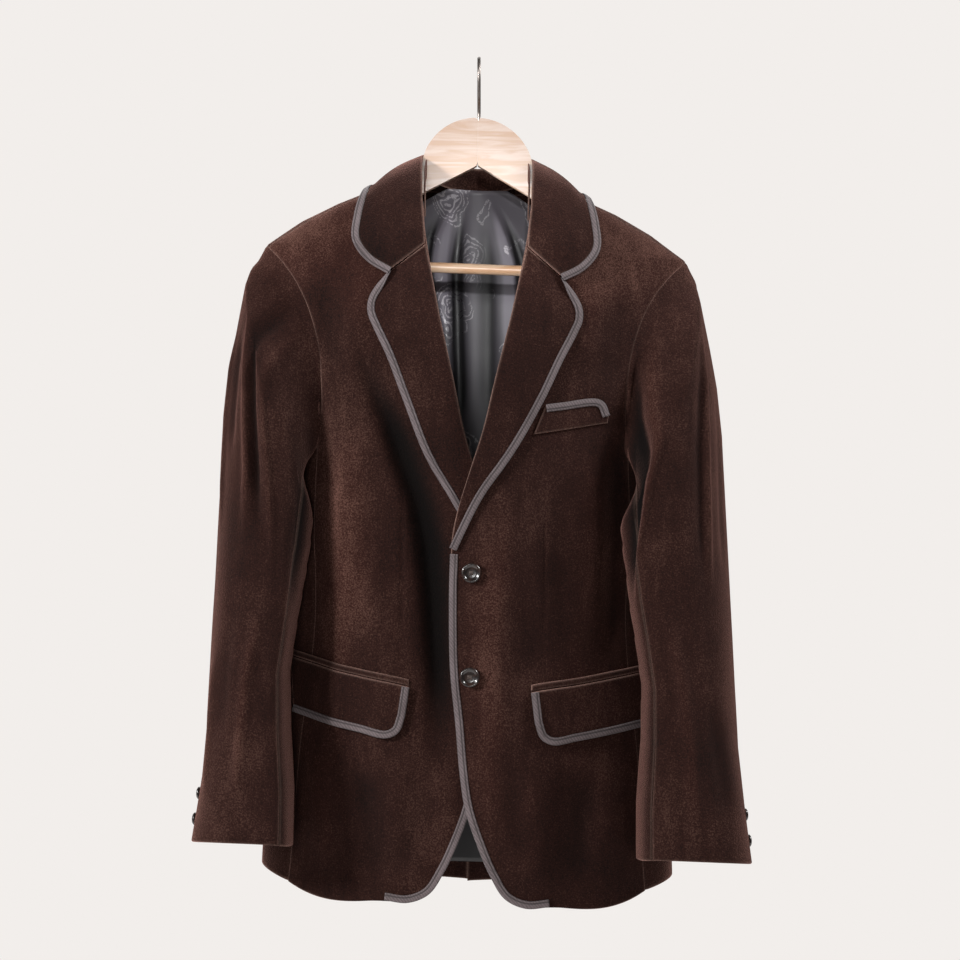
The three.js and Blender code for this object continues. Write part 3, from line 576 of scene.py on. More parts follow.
def braid_piece(node_name, rows, normals):
    """A strip of braid in place of the solid of its name.

    Across its width it rises in two cords with rounded edges; painted shade is marked in its sewn groove and
    along both edges."""
    w = np.linspace(0, 1, BRAID_STEPS)
    cords = 0.25 + 0.75 * np.clip(np.sin(np.pi * w), 0, 1)**0.35
    groove = 0.45 * np.exp(-((w - BRAID_GROOVE) / 0.07)**2)
    height = BRAID_THICK * np.clip(cords - groove, 0.15, 1)
    obj = wall_mesh("mohair_" + node_name, rows, rows + normals * height[:, None])
    # painted shade in the sewn groove and along both edges of the braid
    dark = sum(depth * np.exp(-((w - at) / width)**2)
               for depth, at, width in ((1, BRAID_GROOVE, 0.08), (0.6, 0, 0.1), (0.6, 1, 0.06)))
    mark(obj, "groove", dark + 0 * rows[..., 0])
    dress(obj, "braid", node_name)


def edge_braid(node_name, line, facing, inward):
    """A strip of braid over the edge of a lapel or the collar."""
    side = inward * unit(np.cross(np.gradient(line, axis=0), facing))
    w = np.linspace(-BRAID_OVER, BRAID_WIDTH, BRAID_STEPS)[:, None]
    rows = line[:, None] + side[:, None] * w + facing[:, None] * (CLOTH + 0.4 * LAY)
    braid_piece(node_name, rows, facing[:, None])


def flat_braid(node_name, side, line, inward, lift):
    """A strip of braid over a front, from a line of x and z as they lie on the left front."""
    line = resampled(line)
    along = unit(np.gradient(line, axis=0))
    inwards = np.stack([-along[:, 1], along[:, 0]], -1) * inward
    w = np.linspace(-BRAID_OVER, BRAID_WIDTH, BRAID_STEPS)[:, None]
    at = line[:, None] + inwards[:, None] * w
    normals = front_normal(side, at[..., 0], at[..., 1])
    braid_piece(node_name, front_point(side, at[..., 0], at[..., 1]) + normals * lift, normals)


def resampled(line, step=1.6):
    """A polyline with points spaced evenly, step millimetres apart."""
    line = np.asarray(line, float)
    run = np.concatenate([[0], np.cumsum(np.linalg.norm(np.diff(line, axis=0), axis=1))])
    at = np.linspace(0, run[-1], max(2, int(run[-1] / step)))
    return np.stack([np.interp(at, run, line[:, k]) for k in range(line.shape[1])], -1)


# ---------------------------------------------------------------- the garment's surfaces

def front_flat(side, x, z):
    """A front without its creases, from x and z as they lie on the left front."""
    p = body_point(angle_at(x, z), np.asarray(z, float))
    p[..., 1] -= lap_offset(side, p[..., 0])
    return mirrored(p, side)


def front_normal(side, x, z):
    across = front_flat(side, x + 1, z) - front_flat(side, x - 1, z)
    up = front_flat(side, x, z + 1) - front_flat(side, x, z - 1)
    return unit(np.cross(across, up) * side)


def front_point(side, x, z):
    """A front with its creases."""
    x, z = np.asarray(x, float), np.asarray(z, float)
    height = creased(FRONT_CREASES, side, x, z) + ripple(x, z, 1.3 + side)
    return front_flat(side, x, z) + front_normal(side, x, z) * height[..., None]


def front_rows(side, down=200, across=80):
    t, u = shares(down, across)
    a, b = edges(FRONT, t)
    z = between(a, b, u)[1]
    bow = np.sin(np.pi * u)
    slip = HEM_SLIP * u if side < 0 else 0
    z = z - (HEM_SAG * bow + slip) * near_hem(t) + SHOULDER_RISE * bow * near_shoulder(t)
    angle = (1 - u) * angle_at(a[:, 0:1], a[:, 1:2]) + u * angle_at(b[:, 0:1], b[:, 1:2])
    x = column(BODY, HALF, z) * np.sin(angle)
    # painted highlight on the shoulders, added to the crease heights that give the painted shade
    heights = creased(FRONT_CREASES, side, x, z) + SHOULDER_HIGHLIGHT * smoothstep(z, -310, -200)
    return front_point(side, x, z), front_normal(side, x, z), heights


def underarm_z(u):
    return UNDERARM - 10 * u - 18 * np.sin(np.pi * u)


def side_rows(side, down=110, across=32):
    t, u = shares(down, across)
    low = SIDE_HEM - 6 * u + 14 * np.sin(np.pi * u) - (HEM_SLIP if side < 0 else 0)
    z = low + (underarm_z(u) - 3.6 - low) * t
    start = angle_at(far_side(FRONT, z) - 2.0, z)
    end = np.radians(far_side(BACK, z) - 0.4) + 0.022
    angle = start + (end - start) * u
    rows = mirrored(body_point(angle, z), side)
    normals = normals_of(rows)
    width = (end - start) * 90
    sunk = 1.3 * (np.exp(-(u * width / 2.6)**2) + np.exp(-((1 - u) * width / 2.6)**2))
    height = ripple(SIDE_WIDTH * u, z, 4.0 + side) * np.sin(np.pi * u) - sunk
    return rows + normals * height[..., None], normals


def back_rows(side, down=160, across=56):
    t, u = shares(down, across)
    turn, z = between(*edges(BACK, t), u)
    z = z + SHOULDER_RISE * np.sin(np.pi * u) * near_shoulder(t)
    seam_gap = (1.2 - 1.1 * u) * np.clip(t * 10 - 9, 0, None)
    angle = np.radians(turn + seam_gap)
    z = z - (HEM_SLIP * u if side < 0 else 2.2 * (1 - u)) * near_hem(t)
    rows = mirrored(body_point(angle, z), side)
    normals = normals_of(rows)
    x = np.abs(rows[..., 0])
    height = creased(BACK_CREASES, side, x, z) + ripple(x, z, 7.0 + side) - 1.2 * np.exp(-(x / 2.2)**2)
    return rows + normals * height[..., None], normals


def armhole(around):
    """Points of the armhole for turns round it: 0 at the shoulder, 0.5 at the underarm."""
    on = FRONT[:, 3] > UNDERARM - 6
    front = body_point(angle_at(FRONT[on, 2], FRONT[on, 3]), FRONT[on, 3])[::-1]
    u = np.array([0.12, 0.25, 0.375, 0.5, 0.625, 0.75, 0.88])
    z = underarm_z(u)
    under = body_point((1 - u) * angle_at(160 + 0 * z, z) + u * angle_at(158 + 0 * z, z, True), z)
    on = (BACK[:, 3] > UNDERARM - 16) & (BACK[:, 2] > 90)
    back = body_point(np.radians(BACK[on, 2]), BACK[on, 3])
    tip = np.array([[220, 0, SHOULDER_TIP]])
    first = spline(np.vstack([tip, front, under[:4]]), 2 * around)
    second = spline(np.vstack([under[3:], back, tip]), 2 * around - 1)
    return np.where((around < 0.5)[:, None], first, second)


def clear_of_body(p, clear):
    half = column(BODY, HALF, p[..., 2]) + clear
    ahead, behind = (column(BODY, k, p[..., 2]) for k in (FRONT_DEPTH, BACK_DEPTH))
    depth = np.where(p[..., 1] < 0, ahead, behind) + clear
    inside = np.minimum(np.hypot(p[..., 0] / half, p[..., 1] / depth), 1)
    return p / np.stack([inside, inside, np.ones_like(inside)], -1)


def squared(share, corner):
    """Fills out an oval's corners: a hanging sleeve is flat, with a fold down its inner front."""
    return np.sign(share) * np.abs(share)**corner


def sleeve_surface(side, around, t):
    """A sleeve's middle surface without creases; around and t are grids of shares."""
    turn = around % 1
    start = armhole(turn[0])[None, :, :] * np.ones_like(t)[..., None]
    hole = np.stack([SLEEVE_AXIS_X + 0 * t, 0 * t, 0.5 * (start[..., 2] - 330)], -1)
    half = column(BODY, HALF, start[..., 2])
    out = unit(np.stack([start[..., 0] / half**2, start[..., 1] / 95**2, 0 * t], -1))
    towards = unit(hole - start)
    under = (1 - np.cos(2 * np.pi * turn)) / 2
    risen = smoothstep(t, 0.0, 0.012)
    start = start + towards * (SEAM_IN * risen - SEAM_OVER)[..., None]
    start += out * ((SEAM_OUT + 2.6 * under) * risen - SEAM_SUNK)[..., None]
    angle = 2 * np.pi * turn
    cuff = CUFF_Z - CUFF_SLANT * (1 - np.sin(angle)) / 2
    z = start[..., 2] + (cuff - start[..., 2]) * t
    front_inner = 2 * np.clip(np.sin(angle), 0, None) * np.clip(-np.cos(angle), 0, None)
    corner = OTHER_CORNER + (FRONT_INNER_CORNER - OTHER_CORNER) * front_inner
    in_x, out_x, front_y, back_y = (column(SLEEVE, k, z) for k in (IN_X, OUT_X, FRONT_Y, BACK_Y))
    in_x = in_x - (column(HANG, LEFT_IN, z) if side > 0 else 0)
    out_x = out_x + (column(HANG, RIGHT_OUT, z) if side < 0 else 0)
    p = np.stack([
        (in_x + out_x) / 2 + (out_x - in_x) / 2 * squared(np.cos(angle), corner),
        (front_y + back_y) / 2 + (front_y - back_y) / 2 * squared(np.sin(angle), corner),
        z,
    ], -1)
    reach = 0.13 - 0.09 * np.cos(angle) - 0.07 * front_inner
    blend = smoothstep(t / reach, 0, 1)[..., None]
    start[..., 2] = z
    mixed = start + (p - start) * blend
    near = (SEAM_OUT + 4.6 * under) * risen - SEAM_SUNK
    clear = near + (SLEEVE_CLEAR - near) * blend[..., 0]
    return mirrored(clear_of_body(mixed, clear), side)


def sleeve_rows(side, start, end, down, across):
    t, u = shares(down, across)
    around = start + (end - start) * u
    rows = sleeve_surface(side, around, t)
    z = rows[..., 2]
    in_x, out_x, front_y, back_y = (column(SLEEVE, k, z) for k in (IN_X, OUT_X, FRONT_Y, BACK_Y))
    normals = normals_of(rows, np.stack([side * (in_x + out_x) / 2, (front_y + back_y) / 2, z], -1))
    degrees = 360 * around
    height = creased(SLEEVE_CREASES, side, degrees, z) + ripple(degrees, z, 9.0 + side)
    height *= smoothstep(t, 0.0, 0.06)
    by_body = np.cos(2 * np.pi * around) < -0.35
    kept = np.where(by_body, np.maximum(height, 3.4 - SLEEVE_CLEAR), height)
    # half as much painted highlight on the tops of the sleeves
    sheen = 0.5 * SHOULDER_HIGHLIGHT * smoothstep(z, -330, -220)
    return rows + normals * kept[..., None], normals, height + sheen


def lapel_rows(side, down=150, across=44):
    t, u = shares(down, across)
    a, b = edges(LAPEL, t)
    b[:, 0] -= side * LAPEL_SLIP * np.exp(-((b[:, 1] + 455) / 75)**2)
    x, z = between(a, b, u)
    z = z + 3.4 * np.exp(-t / 0.03) * (1 - 0.6 * u**6)
    rows = front_flat(side, x, z)
    width = np.minimum(1, np.linalg.norm(a - b, axis=1) / 60)[:, None]
    belly = LAPEL_BELLY * width * np.sin(np.pi * np.minimum(1, 0.25 + 0.75 * u)) * (1 - 0.6 * u)
    rows[..., 1] -= CLOTH + LAY + 0.6 + belly
    near = np.clip(1 - t / GORGE_REACH, 0, None)**2 * (1 - u**3)
    gorge = GORGE_Y - u - lap_offset(side, rows[..., 0]) + 0.4
    rows[..., 1] += (np.minimum(rows[..., 1], gorge) - rows[..., 1]) * near
    normals = normals_of(rows)
    return rows + normals * (0.7 * ripple(x, z, 12.0 + side))[..., None], normals


def collar_line(first, half, share):
    """The collar's fold (0) or edge (3), which follows the lap of the fronts near each notch."""
    side = np.where(share < 0.5, 1, -1)
    line = spline(COLLAR[:, first:first + 3], half)
    line[:, 1] -= lap_offset(side, line[:, 0]) * np.clip(1 - 3 * half, 0, None)
    return line * np.stack([side, np.ones_like(side), np.ones_like(side)], -1)


def collar_rows(down=240, across=36):
    t, u = shares(down, across)
    half = np.where(t[:, 0] < 0.5, 2 * t[:, 0], 2 - 2 * t[:, 0])
    fold = collar_line(0, half, t[:, 0])
    edge = collar_line(3, half, t[:, 0])
    p = fold[:, None] * (1 - u)[..., None] + edge[:, None] * u[..., None]
    belly = COLLAR_BELLY * np.sin(np.pi * np.minimum(1, u * 1.1)) * np.minimum(1, half / 0.12)[:, None]
    rows = p + (outward(p) + (0, 0, 1)) * 0.6 * belly[..., None]
    return rows, normals_of(rows, (rows - COLLAR_AXIS) * (0, 0, 1))


def stand_rows(down=160, across=16):
    t, u = shares(down, across)
    share = 0.11 + 0.78 * t[:, 0]
    half = np.where(share < 0.5, 2 * share, 2 - 2 * share)
    fold = collar_line(0, half, share)[:, None] * np.ones_like(u)[..., None]
    inset = 1 - 2.4 / np.hypot(fold[..., 0], fold[..., 1])
    low = STAND_DEEP * np.sin(np.pi * np.minimum(1, 0.12 + 0.76 * t))
    rows = np.stack([fold[..., 0] * inset, fold[..., 1] * inset, fold[..., 2] - 1 - low * u], -1)
    return rows, normals_of(rows, (rows - COLLAR_AXIS) * (0, 0, 1))


# Folds of the lining: route of x and z, width, depth, lean
LINING_FOLDS = (
    (((-50, -138), (-44, -190), (-33, -262), (-22, -440)), 5, 7.0, 0.5),
    (((-36, -136), (-30, -200), (-22, -300)), 6, -4.0),
    (((-18, -136), (-17, -230), (-12, -420)), 4, 5.0, -0.4),
    (((33, -138), (38, -200), (42, -270), (44, -460)), 5, 7.0, 0.4),
    (((22, -136), (26, -200), (28, -330)), 6, -3.5),
    (((8, -136), (10, -240), (14, -420)), 7, 3.0, 0.2),
    (((-60, -420), (-40, -600), (-20, -860)), 9, 5.0, 0.2),
    (((40, -420), (30, -600), (20, -860)), 9, 5.0, 0.2),
)


def lining_rows(down=150, across=120):
    t, u = np.meshgrid(np.linspace(0, 1, down + 1), np.linspace(0, 1, across + 1), indexing="ij")
    out = 2 * u - 1
    aside = np.abs(out)
    top = LINING_NECK - LINING_FALL * np.clip((aside - 0.42) / 0.58, 0, 1)**1.5
    z = LINING_HEM + (top - LINING_HEM) * t
    reach = (1.1 - 0.12 * t) * aside * np.sign(out)
    p = body_point(np.pi - reach, z)
    wave = 2.2 * (1 + np.sin(9 * reach + z / 90)) * (1 - aside**4)
    folds = sum(crease(150 * reach, z, *fold) for fold in LINING_FOLDS)
    # painted shade: darker in the troughs of the folds and towards the hem, lighter on their ridges
    shade = 2 * folds - 9 * smoothstep(-z, 380, 760)
    return p - outward(p) * np.maximum(2.4 + wave - folds, 2.6)[..., None], shade


def patch_rows(table, side, down=120, across=34):
    t, u = shares(down, across)
    x, z = between(*edges(table, t), u)
    return front_point(side, x, z), front_normal(side, x, z)


def jet_rows(side):
    t, u = shares(120, 8)
    top = edges(FLAP, t)[0]
    x = top[:, 0:1] + 0 * u
    z = top[:, 1:2] + 1.2 + JET_WIDTH * u
    return front_point(side, x, z), front_normal(side, x, z)


# ---------------------------------------------------------------- materials

def srgb(hex_colour):
    return [int(hex_colour[k:k + 2], 16) / 255 for k in (1, 3, 5)]


def linear(hex_colour):
    """An sRGB hex colour as linear red, green, blue and alpha."""
    parts = (c / 12.92 if c <= 0.04045 else ((c + 0.055) / 1.055)**2.4 for c in srgb(hex_colour))
    return (*parts, 1.0)


def socket(made, key):
    """An input that is in use, by its name or its place: a Mix node has one of each name per data type."""
    if isinstance(key, int):
        return made.inputs[key]
    return next(s for s in made.inputs if s.name == key.replace("_", " ") and s.enabled)


def result(source):
    """The first output of a node that is in use, or a socket as it is."""
    if isinstance(source, bpy.types.NodeSocket):
        return source
    return next(s for s in source.outputs if s.enabled)


def feed(made, links):
    """Feeds inputs of a node from other nodes or from their sockets."""
    for key, source in links.items():
        made.id_data.links.new(result(source), socket(made, key))


def node(tree, kind, links=None, stops=(), **settings):
    """Adds a shader node: settings name its own values or, by socket name, its inputs; links feed inputs.

    The stops of a colour ramp are pairs of position and hex colour."""
    made = tree.nodes.new("ShaderNode" + kind)
    if stops:
        made.color_ramp.interpolation = "EASE"
        cells = made.color_ramp.elements
        while len(cells) < len(stops):
            cells.new(0.5)
        for cell, (at, colour) in zip(cells, stops):
            cell.position = at
            cell.color = linear(colour)
    for key, value in settings.items():
        if hasattr(made, key):
            setattr(made, key, value)
        else:
            socket(made, key).default_value = value
    feed(made, links or {})
    return made


def surface(name, colour, **settings):
    """A material with a Principled surface, given the values that are the same all over.

    With it come its shader, a call that adds a node to it, and the place of each point on the piece."""
    material = bpy.data.materials.new(name)
    material.use_nodes = True
    tree = material.node_tree
    shader = tree.nodes["Principled BSDF"]
    for key, value in {"Base Color": linear(colour), **settings}.items():
        socket(shader, key).default_value = value
    add = functools.partial(node, tree)
    return material, shader, add, add("TexCoord").outputs["Object"]


def velvet_pile(name, dark, mid, lit):
    """Cotton velvet, woven and sheared: an upright pile, dark head on and pale at a slant.

    The pile lies one way or another in patches and its tufts give a fine grain. Painted shade darkens the
    troughs of creases; painted highlight lightens their ridges, the tops of the shoulders, and the seams and
    turned edges."""
    material, shader, add, at = surface(
        name, mid, Roughness=0.85, Specular_IOR_Level=0.1, Sheen_Weight=0.75, Sheen_Roughness=0.35,
        Sheen_Tint=linear("#c79488"))
    patches = add("TexNoise", {"Vector": at}, Scale=9.0, Detail=2.0, Roughness=0.5)
    brushed = add("Mapping", {"Vector": at}, Scale=(1.0, 1.0, 0.3))
    streaks = add("TexNoise", {"Vector": brushed}, Scale=70.0, Detail=4.0, Roughness=0.65)
    tufts = add("TexNoise", {"Vector": at}, Scale=1 / TUFT, Detail=2.0, Roughness=0.8)
    # painted shade and highlight from the crease heights: it shifts the grain a little and, through a ramp,
    # multiplies the colour, near black in troughs and lighter on ridges
    laid = add("Attribute", attribute_name="painted_shade_and_highlight").outputs["Fac"]
    lay = add("Mix", {"A": patches, "B": streaks}, Factor=0.4)
    lean = add("Mix", {"A": lay, "B": laid}, Factor=0.25)
    grain = add("Mix", {"A": lean, "B": tufts}, Factor=0.48)
    tuft = add("ValToRGB", {"Fac": grain}, ((0.36, dark), (0.5, mid), (0.65, lit)))
    depth = add("ValToRGB", {"Fac": laid}, ((0.05, "#383838"), (0.5, "#b4b4b4"), (0.85, "#d8d8d8")))
    pile = add("Mix", {"A": tuft, "B": depth}, data_type="RGBA", blend_type="MULTIPLY", Factor=1.0)
    # painted highlight: a pale colour mixed in along seams and turned edges, broken up by the tufts
    edge_highlight = add("Attribute", attribute_name="painted_edge_highlight")
    broken = add("Math", {0: edge_highlight.outputs["Fac"], 1: tufts}, operation="MULTIPLY")
    seams = add("Mix", {"Factor": broken, "A": pile}, data_type="RGBA", B=linear("#a88a7e"))
    bump = add("Bump", {"Height": grain}, Strength=0.7, Distance=0.0026)
    feed(shader, {"Base Color": seams, "Normal": bump})
    return material


def twill_braid(name, colour, shade):
    """Mohair braid, woven in a fine diagonal twill: matte grey with a soft rib, and painted shade in its sewn
    groove and along its edges.
    """
    material, shader, add, at = surface(name, colour, Roughness=0.78, Sheen_Weight=0.2, Sheen_Roughness=0.5)
    turned = add("Mapping", {"Vector": at}, Rotation=(0.0, math.radians(38), 0.0))
    rib = add("TexWave", {"Vector": turned}, Scale=WAVE / TWILL_RIB, Distortion=2.5, Detail=1.0,
              bands_direction="X")
    speck = add("TexNoise", {"Vector": at}, Scale=480.0, Detail=3.0, Roughness=0.8)
    wear = add("TexNoise", {"Vector": at}, Scale=28.0, Detail=2.0)
    weave = add("Mix", {"A": rib.outputs["Fac"], "B": speck}, Factor=0.7)
    both = add("Mix", {"A": weave, "B": wear}, Factor=0.4)
    cords = add("ValToRGB", {"Fac": both}, ((0.32, shade), (0.66, colour)))
    groove = add("Attribute", attribute_name="groove").outputs["Fac"]
    # painted shade: the groove and the braid's edges mixed towards near black
    sewn = add("Mix", {"Factor": groove, "A": cords}, data_type="RGBA", B=linear("#1d1615"))
    bump = add("Bump", {"Height": weave}, Strength=0.6, Distance=0.0006)
    feed(shader, {"Base Color": sewn, "Normal": bump})
    return material


def jacquard_lining(name, ground, figure):
    """Satin jacquard, woven tone on tone: curled leaf figures in rings and scrolls on a smooth ground."""
    material, shader, add, at = surface(name, ground, Sheen_Weight=0.2)
    flat = add("Mapping", {"Vector": at}, Scale=(1.0, 0.15, 0.75))
    bend = add("TexNoise", {"Vector": flat}, Scale=34.0, Detail=2.0)
    pull = add("VectorMath", {0: bend.outputs["Color"]}, operation="SCALE", Scale=0.045)
    warped = add("VectorMath", {0: flat, 1: pull}, operation="ADD")
    leaves = add("TexVoronoi", {"Vector": warped}, Scale=1 / LEAF)
    body = add("MapRange", {"Value": leaves}, From_Min=0.45, From_Max=0.38)
    turns = add("Math", {0: leaves}, operation="MULTIPLY")
    turns.inputs[1].default_value = 66.0
    rings = add("Math", {0: turns}, operation="SINE")
    scroll = add("TexNoise", {"Vector": flat}, Scale=260.0, Detail=2.0, Distortion=2.0)
    lace = add("MapRange", {"Value": scroll}, From_Min=0.38, From_Max=0.52)
    some = add("TexNoise", {"Vector": at}, Scale=15.0, Detail=1.0)
    picked = add("MapRange", {"Value": some}, From_Min=0.37, From_Max=0.45)
    shown = rings
    for share in (lace, body, picked):
        shown = add("Math", {0: shown, 1: share}, operation="MULTIPLY")
    colour = add("ValToRGB", {"Fac": shown}, ((0.1, ground), (0.55, figure)))
    # painted shade and highlight of the folds and the lower lining, multiplied into the colour
    fold = add("Attribute", attribute_name="painted_shade_and_highlight").outputs["Fac"]
    depth = add("ValToRGB", {"Fac": fold}, ((0.2, "#2c2a2e"), (0.5, "#b5b5b5"), (0.7, "#ffffff")))
    shaded = add("Mix", {"A": colour, "B": depth}, data_type="RGBA", blend_type="MULTIPLY", Factor=1.0)
    gloss = add("MapRange", {"Value": shown}, From_Min=0.1, From_Max=0.6, To_Min=0.46, To_Max=0.25)
    weft = add("TexNoise", {"Vector": at}, Scale=900.0, Detail=1.0)
    bump = add("Bump", {"Height": weft}, Strength=0.15, Distance=0.0003)
    feed(shader, {"Base Color": shaded, "Roughness": gloss, "Normal": bump})
    return material


def horn_button(name, dark, light):
    """Polished horn-like polyester, turned and buffed: dark brown with cloudy streaks under a gloss."""
    material, shader, add, at = surface(name, dark, Roughness=0.28, Coat_Weight=0.5, Coat_Roughness=0.08)
    cloud = add("TexNoise", {"Vector": at}, Scale=110.0, Detail=5.0, Distortion=1.5)
    feed(shader, {"Base Color": add("ValToRGB", {"Fac": cloud}, ((0.4, dark), (0.7, light)))})
    return material


def lacquered_wood(name, pale, vein):
    """Lotus wood, planed and lacquered: pale, with faint long grain and a thin satin coat."""
    material, shader, add, at = surface(name, pale, Roughness=0.38, Coat_Weight=0.3, Coat_Roughness=0.25)
    along = add("Mapping", {"Vector": at}, Rotation=(0.0, math.radians(28), 0.0), Scale=(1.0, 6.0, 9.0))
    grain = add("TexNoise", {"Vector": along}, Scale=16.0, Detail=6.0, Distortion=0.8)
    feed(shader, {"Base Color": add("ValToRGB", {"Fac": grain}, ((0.35, pale), (0.62, vein)))})
    return material


def chromed_wire(name, colour):
    """Chromed steel wire, drawn and plated: bright, with a faint drawing grain."""
    material, shader, add, at = surface(name, colour, Metallic=1.0)
    draw = add("TexNoise", {"Vector": at}, Scale=300.0, Detail=2.0)
    feed(shader, {"Roughness": add("MapRange", {"Value": draw}, To_Min=0.3, To_Max=0.5)})
    return material


def waxed_thread(name, colour, worn):
    """Buttonhole twist: waxed sewing thread, dark and softly lit."""
    material, shader, add, at = surface(name, colour, Roughness=0.6)
    strand = add("TexNoise", {"Vector": at}, Scale=1500.0, Detail=1.0)
    feed(shader, {"Base Color": add("ValToRGB", {"Fac": strand}, ((0.4, colour), (0.6, worn)))})
    return material


def backdrop_paper(name, colour):
    """Seamless studio paper, matt and even."""
    return surface(name, colour, Roughness=0.95)[0]


def material_of(kind):
    """A finish of the jacket, made once from the colours set in the sidebar."""
    if kind in MATERIALS:
        return MATERIALS[kind]
    look = bpy.context.scene.jacket_look
    shades = {key: "#" + "".join(f"{round(255 * c):02x}" for c in getattr(look, key))
              for key in ("velvet", "braid", "lining", "button", "wood")}
    make, *named = {
        "velvet": (velvet_pile, "velvet_sheared_pile", "#130a08", shades["velvet"], "#6a4a40"),
        "braid": (twill_braid, "mohair_braid_twill", shades["braid"], "#4a3f40"),
        "lining": (jacquard_lining, "satin_jacquard_lining", shades["lining"], "#d8d3da"),
        "button": (horn_button, "polished_horn_button", shades["button"], "#2c1a13"),
        "wood": (lacquered_wood, "lacquered_lotus_wood", shades["wood"], "#c4a48d"),
        # the trouser bar: a lighter, more orange copy of the hanger's wood, painted brighter to make up for
        # the shade it hangs in
        "bar": (lacquered_wood, "lacquered_bar_wood", "#ffdcbc", "#f2bf95"),
        "metal": (chromed_wire, "chromed_wire", "#8f8782"),
        "thread": (waxed_thread, "waxed_thread", "#2a2220", "#5a4a42"),
    }[kind]
    MATERIALS[kind] = make(*named)
    return MATERIALS[kind]


# ---------------------------------------------------------------- settings and operators

def colour_setting(name, text, default):
    return bpy.props.FloatVectorProperty(name=name, description=text, default=srgb(default),
                                         subtype="COLOR_GAMMA", min=0, max=1, size=3)


class JacketLook(bpy.types.PropertyGroup):
    velvet: colour_setting("Velvet", "Colour of the velvet pile seen head on", "#381d17")
    braid: colour_setting("Braid", "Colour of the edge binding", "#695d5f")
    lining: colour_setting("Lining", "Ground colour of the lining", "#85808a")
    button: colour_setting("Buttons", "Colour of the horn buttons", "#120a08")
    wood: colour_setting("Hanger", "Colour of the hanger's wood", "#d2bdb0")


class JacketSizes(bpy.types.PropertyGroup):
    button_radius: bpy.props.FloatProperty(
        name="Front button radius", description="Radius of a front button", default=0.0102, unit="LENGTH")
    cuff_radius: bpy.props.FloatProperty(
        name="Cuff button radius", description="Radius of a cuff button", default=0.0066, unit="LENGTH")
    hanger_edge: bpy.props.FloatProperty(
        name="Hanger edge", description="Rounding of the hanger's edges", default=0.003, unit="LENGTH")


class JACKET_OT_fronts(bpy.types.Operator):
    """Cuts the two fronts of velvet, with their darts and drag lines"""
    bl_idname = "jacket.fronts"
    bl_label = "Fronts"

    def execute(self, context):
        for side, word in SIDES:
            rows, normals, heights = front_rows(side)
            velvet_piece("front_" + word, rows, normals, heights=heights)
        return {"FINISHED"}


class JACKET_OT_sides_and_backs(bpy.types.Operator):
    """Cuts the side panels and the two backs, joined by a centre seam"""
    bl_idname = "jacket.sides_and_backs"
    bl_label = "Sides and backs"

    def execute(self, context):
        for side, word in SIDES:
            velvet_piece("side_" + word, *side_rows(side))
            velvet_piece("back_" + word, *back_rows(side))
        return {"FINISHED"}


class JACKET_OT_sleeves(bpy.types.Operator):
    """Cuts the two-piece sleeves and sets them into the armholes"""
    bl_idname = "jacket.sleeves"
    bl_label = "Sleeves"

    def execute(self, context):
        for side, word in SIDES:
            for part, start, end, down, across, shaded in SLEEVE_PIECES:
                rows, normals, heights = sleeve_rows(side, start, end, down, across)
                # the under sleeves get painted shade, darker than the top sleeves
                velvet_piece(part + word, rows, normals, lift=-CLOTH / 2, heights=heights - shaded, pale=0.3)
        return {"FINISHED"}


class JACKET_OT_collar_and_lapels(bpy.types.Operator):
    """Folds the collar over its stand and turns the lapels back"""
    bl_idname = "jacket.collar_and_lapels"
    bl_label = "Collar and lapels"

    def execute(self, context):
        for side, word in SIDES:
            velvet_piece("lapel_" + word, *lapel_rows(side))
        rows, normals = collar_rows()
        # painted shade on the collar, darker on its right half
        velvet_piece("collar_fall", rows, normals, heights=np.where(rows[..., 0] < 0, -2.4, -1.0))
        velvet_piece("collar_stand", *stand_rows(), STAND_THICK, lift=-STAND_THICK)
        return {"FINISHED"}


class JACKET_OT_bindings(bpy.types.Operator):
    """Binds the front edges, the lapels and the collar with braid"""
    bl_idname = "jacket.bindings"
    bl_label = "Bindings"

    def execute(self, context):
        for side, word in SIDES:
            edge = spline(FRONT[:, 0:2], np.linspace(0, BRAID_TOP, 160))
            flat_braid("front_braid_" + word, side, edge, -1, CLOTH + 0.5 * LAY)
            rows, normals = lapel_rows(side, 220)
            edge_braid("lapel_braid_" + word, rows[:, -1], normals[:, -1], side)
        rows, normals = collar_rows(320)
        edge_braid("collar_braid", rows[:, -1], normals[:, -1], 1)
        return {"FINISHED"}


class JACKET_OT_pockets(bpy.types.Operator):
    """Sets the flap pockets with their jets, and the breast welt"""
    bl_idname = "jacket.pockets"
    bl_label = "Pockets"

    def execute(self, context):
        low_edge = np.vstack([FLAP[:1, 0:2], spline(FLAP[:, 2:4], np.linspace(0, 1, 60))])
        for side, word in SIDES:
            velvet_piece("flap_" + word, *patch_rows(FLAP, side), lift=CLOTH + 2 * LAY)
            flat_braid("flap_braid_" + word, side, low_edge, 1, 2 * CLOTH + 2.6 * LAY)
            velvet_piece("jet_" + word, *jet_rows(side), lift=CLOTH + LAY / 2)
        velvet_piece("breast_welt", *patch_rows(WELT, 1), lift=CLOTH + LAY / 2)
        flat_braid("welt_braid", 1, spline(WELT[:, 0:2], np.linspace(0, 1, 50)), -1, 2 * CLOTH + LAY)
        return {"FINISHED"}


class JACKET_OT_lining(bpy.types.Operator):
    """Hangs the jacquard lining inside the back, in soft folds"""
    bl_idname = "jacket.lining"
    bl_label = "Lining"

    def execute(self, context):
        rows, heights = lining_rows()
        normals = normals_of(rows)
        piece = turned_wall("satin_back_lining", rows, normals, LINING, lift=-LINING, heights=heights)
        dress(piece, "lining", "back_lining")
        return {"FINISHED"}


